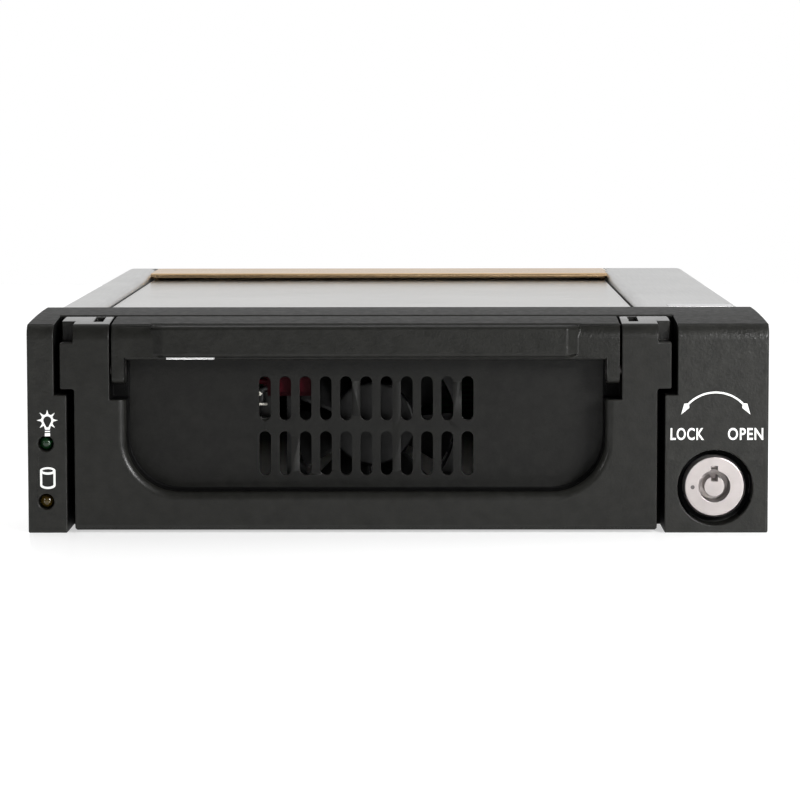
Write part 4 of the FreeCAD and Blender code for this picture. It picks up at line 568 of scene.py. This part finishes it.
def add_can(name, x, z, radius, near, far, edge, material, body):
    """A cylinder along Y in mm, its end at near rounded."""
    shape = bmesh.new()
    sizes = {"radius1": radius, "radius2": radius, "depth": far - near}
    bmesh.ops.create_cone(shape, cap_ends=True, segments=CAN_SIDES, **sizes)
    along_y = Matrix.Rotation(math.radians(90.0), 3, "X")
    bmesh.ops.rotate(shape, cent=(0, 0, 0), matrix=along_y, verts=shape.verts)
    bmesh.ops.translate(shape, vec=(x, (near + far) / 2, z), verts=shape.verts)
    rim = [side for side in shape.edges if all(abs(vert.co.y - near) < 0.01 for vert in side.verts)]
    bmesh.ops.bevel(shape, geom=rim, offset=edge, segments=EDGE_STEPS, affect="EDGES")
    piece(name, shape, material, body)


# ---------------------------------------------------------------- small parts and labels, in mm
CAPACITORS_AT = ((-47.0, 9.0), (-47.0, 17.5), (37.5, 9.0))  # x, z
CAPACITOR_R = 2.5
CAPACITOR_L = 5.5
CAPACITOR_EDGE = 0.4
CAPACITOR_TOP_R = 1.9
CAPACITOR_TOP_T = 0.13
CAPACITOR_TOP_PROUD = 0.03
CAPACITOR_TOP_EDGE = 0.02
BACKPLANE_CHIPS_AT = ((30.0, 16.0), (38.0, 16.0))  # x, z of their lower left corners
BACKPLANE_CHIP = (5.0, 1.5, 4.0)  # width, thickness, height
BACKPLANE_RESISTORS = (29.0, 1.6, 4)  # first x, pitch, count
BACKPLANE_RESISTOR = (0.8, 0.5, 1.6)
BACKPLANE_RESISTOR_Z = 6.0
TRAY_CHIPS_X = (-50.0, -30.0, 12.0)
TRAY_CHIP = (9.0, 1.4, 4.2)
TRAY_CHIP_Z = 21.8
TRAY_RESISTORS = (-17.0, 2.6, 8)
TRAY_RESISTOR = (0.9, 0.5, 1.8)
TRAY_RESISTOR_Z = 22.5
CHIP_EDGE = 0.15
RESISTOR_EDGE = 0.08
RAIL_LABEL = ((57.0, -62.0), (70.6, -54.0))  # x, y of two corners
RAIL_LABEL_SUNK = 0.02
RAIL_LABEL_PROUD = 0.08
RAIL_LABEL_EDGE = 0.02
# the white strip under the grip is partly a painted highlight: it paints the bright line along the grip's
# lower edge
GRIP_STICKER = ((-46.1, -104.32, 34.86), (-36.5, -103.7, 35.31))
GRIP_STICKER_EDGE = 0.05
LEAD_PIECES = {  # two corners, edge and finish
    "lead_sleeve": ((-27.3, -94.0, 26.6), (-16.8, -92.1, 31.3), 0.85, "red_sheath"),
    "lead_tie": ((-28.7, -94.1, 24.75), (-26.4, -93.4, 25.2), 0.15, "nylon"),
    "lead_tie_head": ((-28.4, -94.2, 26.7), (-27.5, -93.5, 27.5), 0.25, "nylon"),
}
STAKE_R = 0.42
STAKE_FROM_LOCK = (-4.35, -0.15)  # x, z
STAKE_PROUD = 0.01
STAKE_DEPTH = 0.2
STAKE_EDGE = 0.01


def mm_box(node):
    return [[value / MM for value in corner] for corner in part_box(node)]


def add_on_board(name, size, x, z, face, way, edge, body):
    """A chip or resistor whose foot lies on a board's face and which stands out along way (-1 or 1)."""
    width, thickness, height = size
    far = face + way * thickness
    add_box(name, (x, min(face, far), z), (x + width, max(face, far), z + height), edge, "chip", body)


def add_resistors(name, row, size, z, face, way, body):
    first, pitch, count = row
    for i in range(count):
        x = first + pitch * i
        add_on_board("%s_%d" % (name, i + 1), size, x, z, face, way, RESISTOR_EDGE, body)


def dress_backplane():
    """Capacitors, chips and resistors on the backplane, on both sides of its socket."""
    face = mm_box("backplane_board")[0][1]
    sleeve = (CAPACITOR_R, face - CAPACITOR_L, face, CAPACITOR_EDGE, "capacitor_sleeve", "cage")
    near = face - CAPACITOR_L - CAPACITOR_TOP_PROUD
    top = (CAPACITOR_TOP_R, near, near + CAPACITOR_TOP_T, CAPACITOR_TOP_EDGE, "steel", "cage")
    for i, (x, z) in enumerate(CAPACITORS_AT, 1):
        add_can("backplane_capacitor_%d" % i, x, z, *sleeve)
        add_can("capacitor_top_%d" % i, x, z, *top)
    for i, (x, z) in enumerate(BACKPLANE_CHIPS_AT, 1):
        add_on_board("backplane_chip_%d" % i, BACKPLANE_CHIP, x, z, face, -1, CHIP_EDGE, "cage")
    row = BACKPLANE_RESISTORS
    add_resistors("backplane_resistor", row, BACKPLANE_RESISTOR, BACKPLANE_RESISTOR_Z, face, -1, "cage")


def dress_tray_board():
    """Chips and resistors on the tray board's rear face, above and beside its plug."""
    face = mm_box("tray_board")[1][1]
    for i, x in enumerate(TRAY_CHIPS_X, 1):
        add_on_board("tray_chip_%d" % i, TRAY_CHIP, x, TRAY_CHIP_Z, face, 1, CHIP_EDGE, "tray")
    add_resistors("tray_resistor", TRAY_RESISTORS, TRAY_RESISTOR, TRAY_RESISTOR_Z, face, 1, "tray")


def add_labels():
    """Bare stickers: on the right rail, and under the grip, where the white strip paints the bright line
    along the grip's lower edge.
    """
    rail_top = mm_box("right_side_rail")[1][2]
    low = (*RAIL_LABEL[0], rail_top - RAIL_LABEL_SUNK)
    high = (*RAIL_LABEL[1], rail_top + RAIL_LABEL_PROUD)
    add_box("rail_label", low, high, RAIL_LABEL_EDGE, "white_label", "cage")
    add_box("grip_highlight_sticker", *GRIP_STICKER, GRIP_STICKER_EDGE, "white_label", "handle")


def dress_fan_leads():
    """The sleeve over the fan leads' splice and the nylon tie that holds them."""
    for name, values in LEAD_PIECES.items():
        add_box(name, *values, "tray")


def add_lock_stake():
    """The small stake mark beside the lock's keyhole."""
    lock = middle("lock_housing") / MM
    x, z = lock.x + STAKE_FROM_LOCK[0], lock.z + STAKE_FROM_LOCK[1]
    face = mm_box("lock_housing")[0][1]
    near, far = face - STAKE_PROUD, face + STAKE_DEPTH
    add_can("lock_stake", x, z, STAKE_R, near, far, STAKE_EDGE, "dull_steel", "cage")


# ---------------------------------------------------------------- printed marks
INK_T = 0.05 * MM
INK_PROUD = 0.03 * MM
FACE_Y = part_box("outer_bezel")[0][1]


def print_mark(name, mesh, x, z):
    """Puts a mark's mesh on the bezel's face, its origin at x, z."""
    mesh.transform(Matrix.Translation((x, FACE_Y - INK_PROUD + INK_T / 2, z)))
    obj = link_new(name, mesh)
    assign(obj, materials["white_ink"])
    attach(obj, "cage")


def scaled_loops(loops):
    return [[(x * MM, z * MM) for x, z in loop] for loop in loops]


def middle(node):
    low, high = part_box(node)
    return (Vector(low) + Vector(high)) / 2


def polar(radius, angle):
    """The point at a distance and an angle in degrees from the origin."""
    return (radius * math.cos(math.radians(angle)), radius * math.sin(math.radians(angle)))


BULB_R = 1.24
RAY_R = 2.15
RAY_HALF = 12.0  # degrees
RAY_PITCH = 45
FIRST_RAY, LAST_RAY = -45, 225
BETWEEN_RAYS = 20.0 / 3.0  # degrees between the outline's points from ray to ray


def bulb_loops():
    """A light bulb with seven rays and a two-band base, in mm about the bulb's middle."""
    outline = []
    for ray in range(FIRST_RAY, LAST_RAY + 1, RAY_PITCH):
        outline += [polar(BULB_R, ray - RAY_HALF), polar(RAY_R, ray)]
        if ray < LAST_RAY:
            outline += [polar(BULB_R, ray + RAY_HALF + BETWEEN_RAYS * i) for i in range(3)]
    outline += [(-0.68, -1.1), (-0.46, -1.9), (0.46, -1.9), (0.68, -1.1)]
    hole = arc((0.0, 0.0), (0.8, 0.8), -30.0, 210.0, 20) + [(-0.2, -1.4), (0.2, -1.4)]
    bands = []
    for low, high, half in ((-2.36, -2.1, 0.5), (-3.2, -2.58, 0.53)):
        bands.append([(-half, low), (half, low), (half, high), (-half, high)])
    return [outline, hole] + bands


def drive_loops():
    """A disk cylinder, in mm about its middle."""
    outline = arc((0.0, 1.5), (1.55, 0.68), 0.0, 180.0, 17)
    outline += arc((0.0, -1.45), (1.55, 0.75), 180.0, 360.0, 17)
    lid = arc((0.0, 1.47), (1.08, 0.32), 0.0, 345.0, 24)
    body = arc((0.0, 1.02), (1.12, 0.36), 180.0, 360.0, 13)
    body += arc((0.0, -1.3), (1.12, 0.45), 0.0, -180.0, 13)
    return [outline, lid, body]


ARROW_R = 7.59
ARROW_TIP = 24.8  # degrees above the horizontal
ARROW_NECK = 44.0
ARROW_BARB = ARROW_NECK - 3.5
ARROW_LINE = 0.37
ARROW_HEAD_W = 1.3


def arrow_loops():
    """A double-headed arc that turns from LOCK to OPEN, in mm about its centre."""
    inner = ARROW_R - ARROW_LINE / 2
    outer = ARROW_R + ARROW_LINE / 2
    head_in = ARROW_R - ARROW_HEAD_W / 2
    head_out = ARROW_R + ARROW_HEAD_W / 2
    loop = [polar(ARROW_R, ARROW_TIP), polar(head_out, ARROW_BARB)]
    loop += arc((0.0, 0.0), (outer, outer), ARROW_NECK, 180.0 - ARROW_NECK, 33)
    loop += [polar(head_out, 180.0 - ARROW_BARB), polar(ARROW_R, 180.0 - ARROW_TIP)]
    loop += [polar(head_in, 180.0 - ARROW_BARB)]
    loop += arc((0.0, 0.0), (inner, inner), 180.0 - ARROW_NECK, ARROW_NECK, 33)
    loop += [polar(head_in, ARROW_BARB)]
    return [loop]


WORD_H = 2.45 * MM
WORD_Z = 18.65 * MM
WORDS = {"LOCK": (54.43 * MM, 6.65 * MM), "OPEN": (65.86 * MM, 7.03 * MM)}  # left edge, width
BOLD = 0.018  # how far a letter's outline is pushed out, at a text size of 1
LETTER_SPACING = 1.12


def print_word(word, left, width):
    """A bold word between two edges on the bezel's face."""
    data = bpy.data.curves.new(word, "FONT")
    data.body = word
    data.size = 1.0
    data.offset = BOLD
    data.space_character = LETTER_SPACING
    data.extrude = 0.1
    data.resolution_u = 4
    mesh = stood_up(word, data)
    low = [min(v.co[i] for v in mesh.vertices) for i in range(3)]
    high = [max(v.co[i] for v in mesh.vertices) for i in range(3)]
    mesh.transform(Matrix.Translation([-low[0], -(low[1] + high[1]) / 2, -low[2]]))
    fit = (width / (high[0] - low[0]), INK_T / (high[1] - low[1]), WORD_H / (high[2] - low[2]))
    mesh.transform(Matrix.Diagonal((*fit, 1.0)))
    print_mark("mark_" + word.lower(), mesh, left, WORD_Z)


ARROW_ABOVE_LOCK = 11.5 * MM
BULB_FROM_LIGHT = (0.36 * MM, 4.7 * MM)  # x, z
DRIVE_FROM_LIGHT = (0.34 * MM, 4.75 * MM)


def print_marks():
    lock = middle("lock_housing")
    green = middle("green_led")
    amber = middle("amber_led")
    arrow = flat_mesh("mark_turn_arrow", scaled_loops(arrow_loops()), INK_T)
    print_mark("mark_turn_arrow", arrow, lock.x, lock.z + ARROW_ABOVE_LOCK)
    for word, (left, width) in WORDS.items():
        print_word(word, left, width)
    bulb = flat_mesh("mark_power", scaled_loops(bulb_loops()), INK_T)
    print_mark("mark_power", bulb, green.x + BULB_FROM_LIGHT[0], green.z + BULB_FROM_LIGHT[1])
    drive = flat_mesh("mark_drive", scaled_loops(drive_loops()), INK_T)
    print_mark("mark_drive", drive, amber.x + DRIVE_FROM_LIGHT[0], amber.z + DRIVE_FROM_LIGHT[1])


# ---------------------------------------------------------------- stage
FLOOR_SIDE = 3.0
FLOOR_FRONT = -3.0
FLOOR_BACK = 0.8


def add_floor():
    mesh = bpy.data.meshes.new("floor")
    xs, ys = (-FLOOR_SIDE, FLOOR_SIDE), (FLOOR_FRONT, FLOOR_BACK)
    corners = [(xs[0], ys[0], 0), (xs[1], ys[0], 0), (xs[1], ys[1], 0), (xs[0], ys[1], 0)]
    mesh.from_pydata(corners, [], [(0, 1, 2, 3)])
    floor = link_new("floor", mesh)
    m = Nodes("floor")
    m.set(Base_Color=(0.92, 0.92, 0.92, 1.0), Roughness=0.26, Specular_IOR_Level=0.5)
    m.set(Emission_Color=(1.0, 1.0, 1.0, 1.0), Emission_Strength=0.52)
    assign(floor, m.material)


def add_area(name, at, target, size, power):
    data = bpy.data.lights.new(name, "AREA")
    data.shape = "RECTANGLE"
    data.size, data.size_y = size
    data.energy = power
    lamp = link_new(name, data)
    turn = (Vector(target) - Vector(at)).to_track_quat("-Z", "Y").to_matrix()
    lamp.matrix_world = Matrix.Translation(Vector(at)) @ turn.to_4x4()


BEHIND = 1.0  # the studio's brightness behind the object, in front of it and overhead
BEFORE = 0.16
OVERHEAD = 0.35
FRONT_TO_BACK = (0.3, 0.8)  # the sky direction's Y over which it brightens to BEHIND
UP_TO_OVERHEAD = (0.75, 1.0)  # the sky direction's Z over which it brightens to OVERHEAD


def world_ramp(tree, value, across, strengths):
    """Smoothly maps a part of the sky's direction onto a strength."""
    ramp = tree.nodes.new("ShaderNodeMapRange")
    ramp.interpolation_type = "SMOOTHSTEP"
    ramp.inputs["From Min"].default_value, ramp.inputs["From Max"].default_value = across
    ramp.inputs["To Min"].default_value, ramp.inputs["To Max"].default_value = strengths
    tree.links.new(value, ramp.inputs["Value"])
    return ramp.outputs["Result"]


def add_world():
    """A white studio that is dim in front of the object; the camera itself always sees it white."""
    world = bpy.data.worlds.new("studio")
    bpy.context.scene.world = world
    world.use_nodes = True
    tree = world.node_tree
    seen = tree.nodes["Background"]
    seen.inputs["Color"].default_value = (1.0, 1.0, 1.0, 1.0)
    lit = tree.nodes.new("ShaderNodeBackground")
    where = tree.nodes.new("ShaderNodeTexCoord")
    split = tree.nodes.new("ShaderNodeSeparateXYZ")
    tree.links.new(where.outputs["Generated"], split.inputs["Vector"])
    depth = world_ramp(tree, split.outputs["Y"], FRONT_TO_BACK, (BEFORE, BEHIND))
    height = world_ramp(tree, split.outputs["Z"], UP_TO_OVERHEAD, (0.0, OVERHEAD))
    total = tree.nodes.new("ShaderNodeMath")
    total.operation = "MAXIMUM"
    tree.links.new(depth, total.inputs[0])
    tree.links.new(height, total.inputs[1])
    tree.links.new(total.outputs["Value"], lit.inputs["Strength"])
    path = tree.nodes.new("ShaderNodeLightPath")
    mix = tree.nodes.new("ShaderNodeMixShader")
    tree.links.new(path.outputs["Is Camera Ray"], mix.inputs["Fac"])
    tree.links.new(lit.outputs["Background"], mix.inputs[1])
    tree.links.new(seen.outputs["Background"], mix.inputs[2])
    tree.links.new(mix.outputs["Shader"], tree.nodes["World Output"].inputs["Surface"])


LAMPS = {  # position, what it points at, size and power in watts
    "top_light": ((0.0, 0.15, 1.0), (0.0, 0.0, 0.0), (1.2, 0.8), 2.5),
    "right_light": ((0.25, -0.43, 0.155), (0.05, -0.1, 0.02), (0.12, 0.12), 1.75),
    "key_light": ((0.40, -0.55, 0.46), (0.0, -0.1, 0.02), (0.5, 0.5), 0.9),
    "front_light": ((0.12, -0.75, 0.26), (0.0, -0.1, 0.03), (0.4, 0.05), 0.16),
    "left_light": ((-0.45, -0.50, 0.20), (-0.02, -0.1, 0.02), (0.04, 0.12), 0.30),
}


def add_lights():
    add_world()
    for name, values in LAMPS.items():
        add_area(name, *values)
    bpy.context.scene.view_settings.view_transform = "Standard"


# ---------------------------------------------------------------- the scene
add_camera()
materials = make_materials()
for node_name, node_object in nodes.items():
    assign(node_object, materials[FINISH.get(node_name, slot_of[node_name])])

soft = {node_name: softened(node_name, edge) for node_name, edge in SOFTENED.items()}
# painted light on the tray head's tops
polish_and_light_tops(soft["tray_head"])
# painted shade on the walls inside the head's and the bezel's openings
for node_name in SHADED_WALLS:
    shade_recesses(soft[node_name], node_name)
# painted shade on the finger pocket's pierced wall
shade_pocket_wall(soft["tray_head"])
# painted shade on the crowns of the bezel and the handle
shade_crown(soft["outer_bezel"])
shade_crown(soft["handle"])
# painted shade inside the lock's keyway
for node_name in ("lock_housing", "lock_plug"):
    shade_lock_inside(soft[node_name])
print_marks()
dress_backplane()
dress_tray_board()
dress_fan_leads()
add_labels()
add_lock_stake()
add_floor()
add_lights()
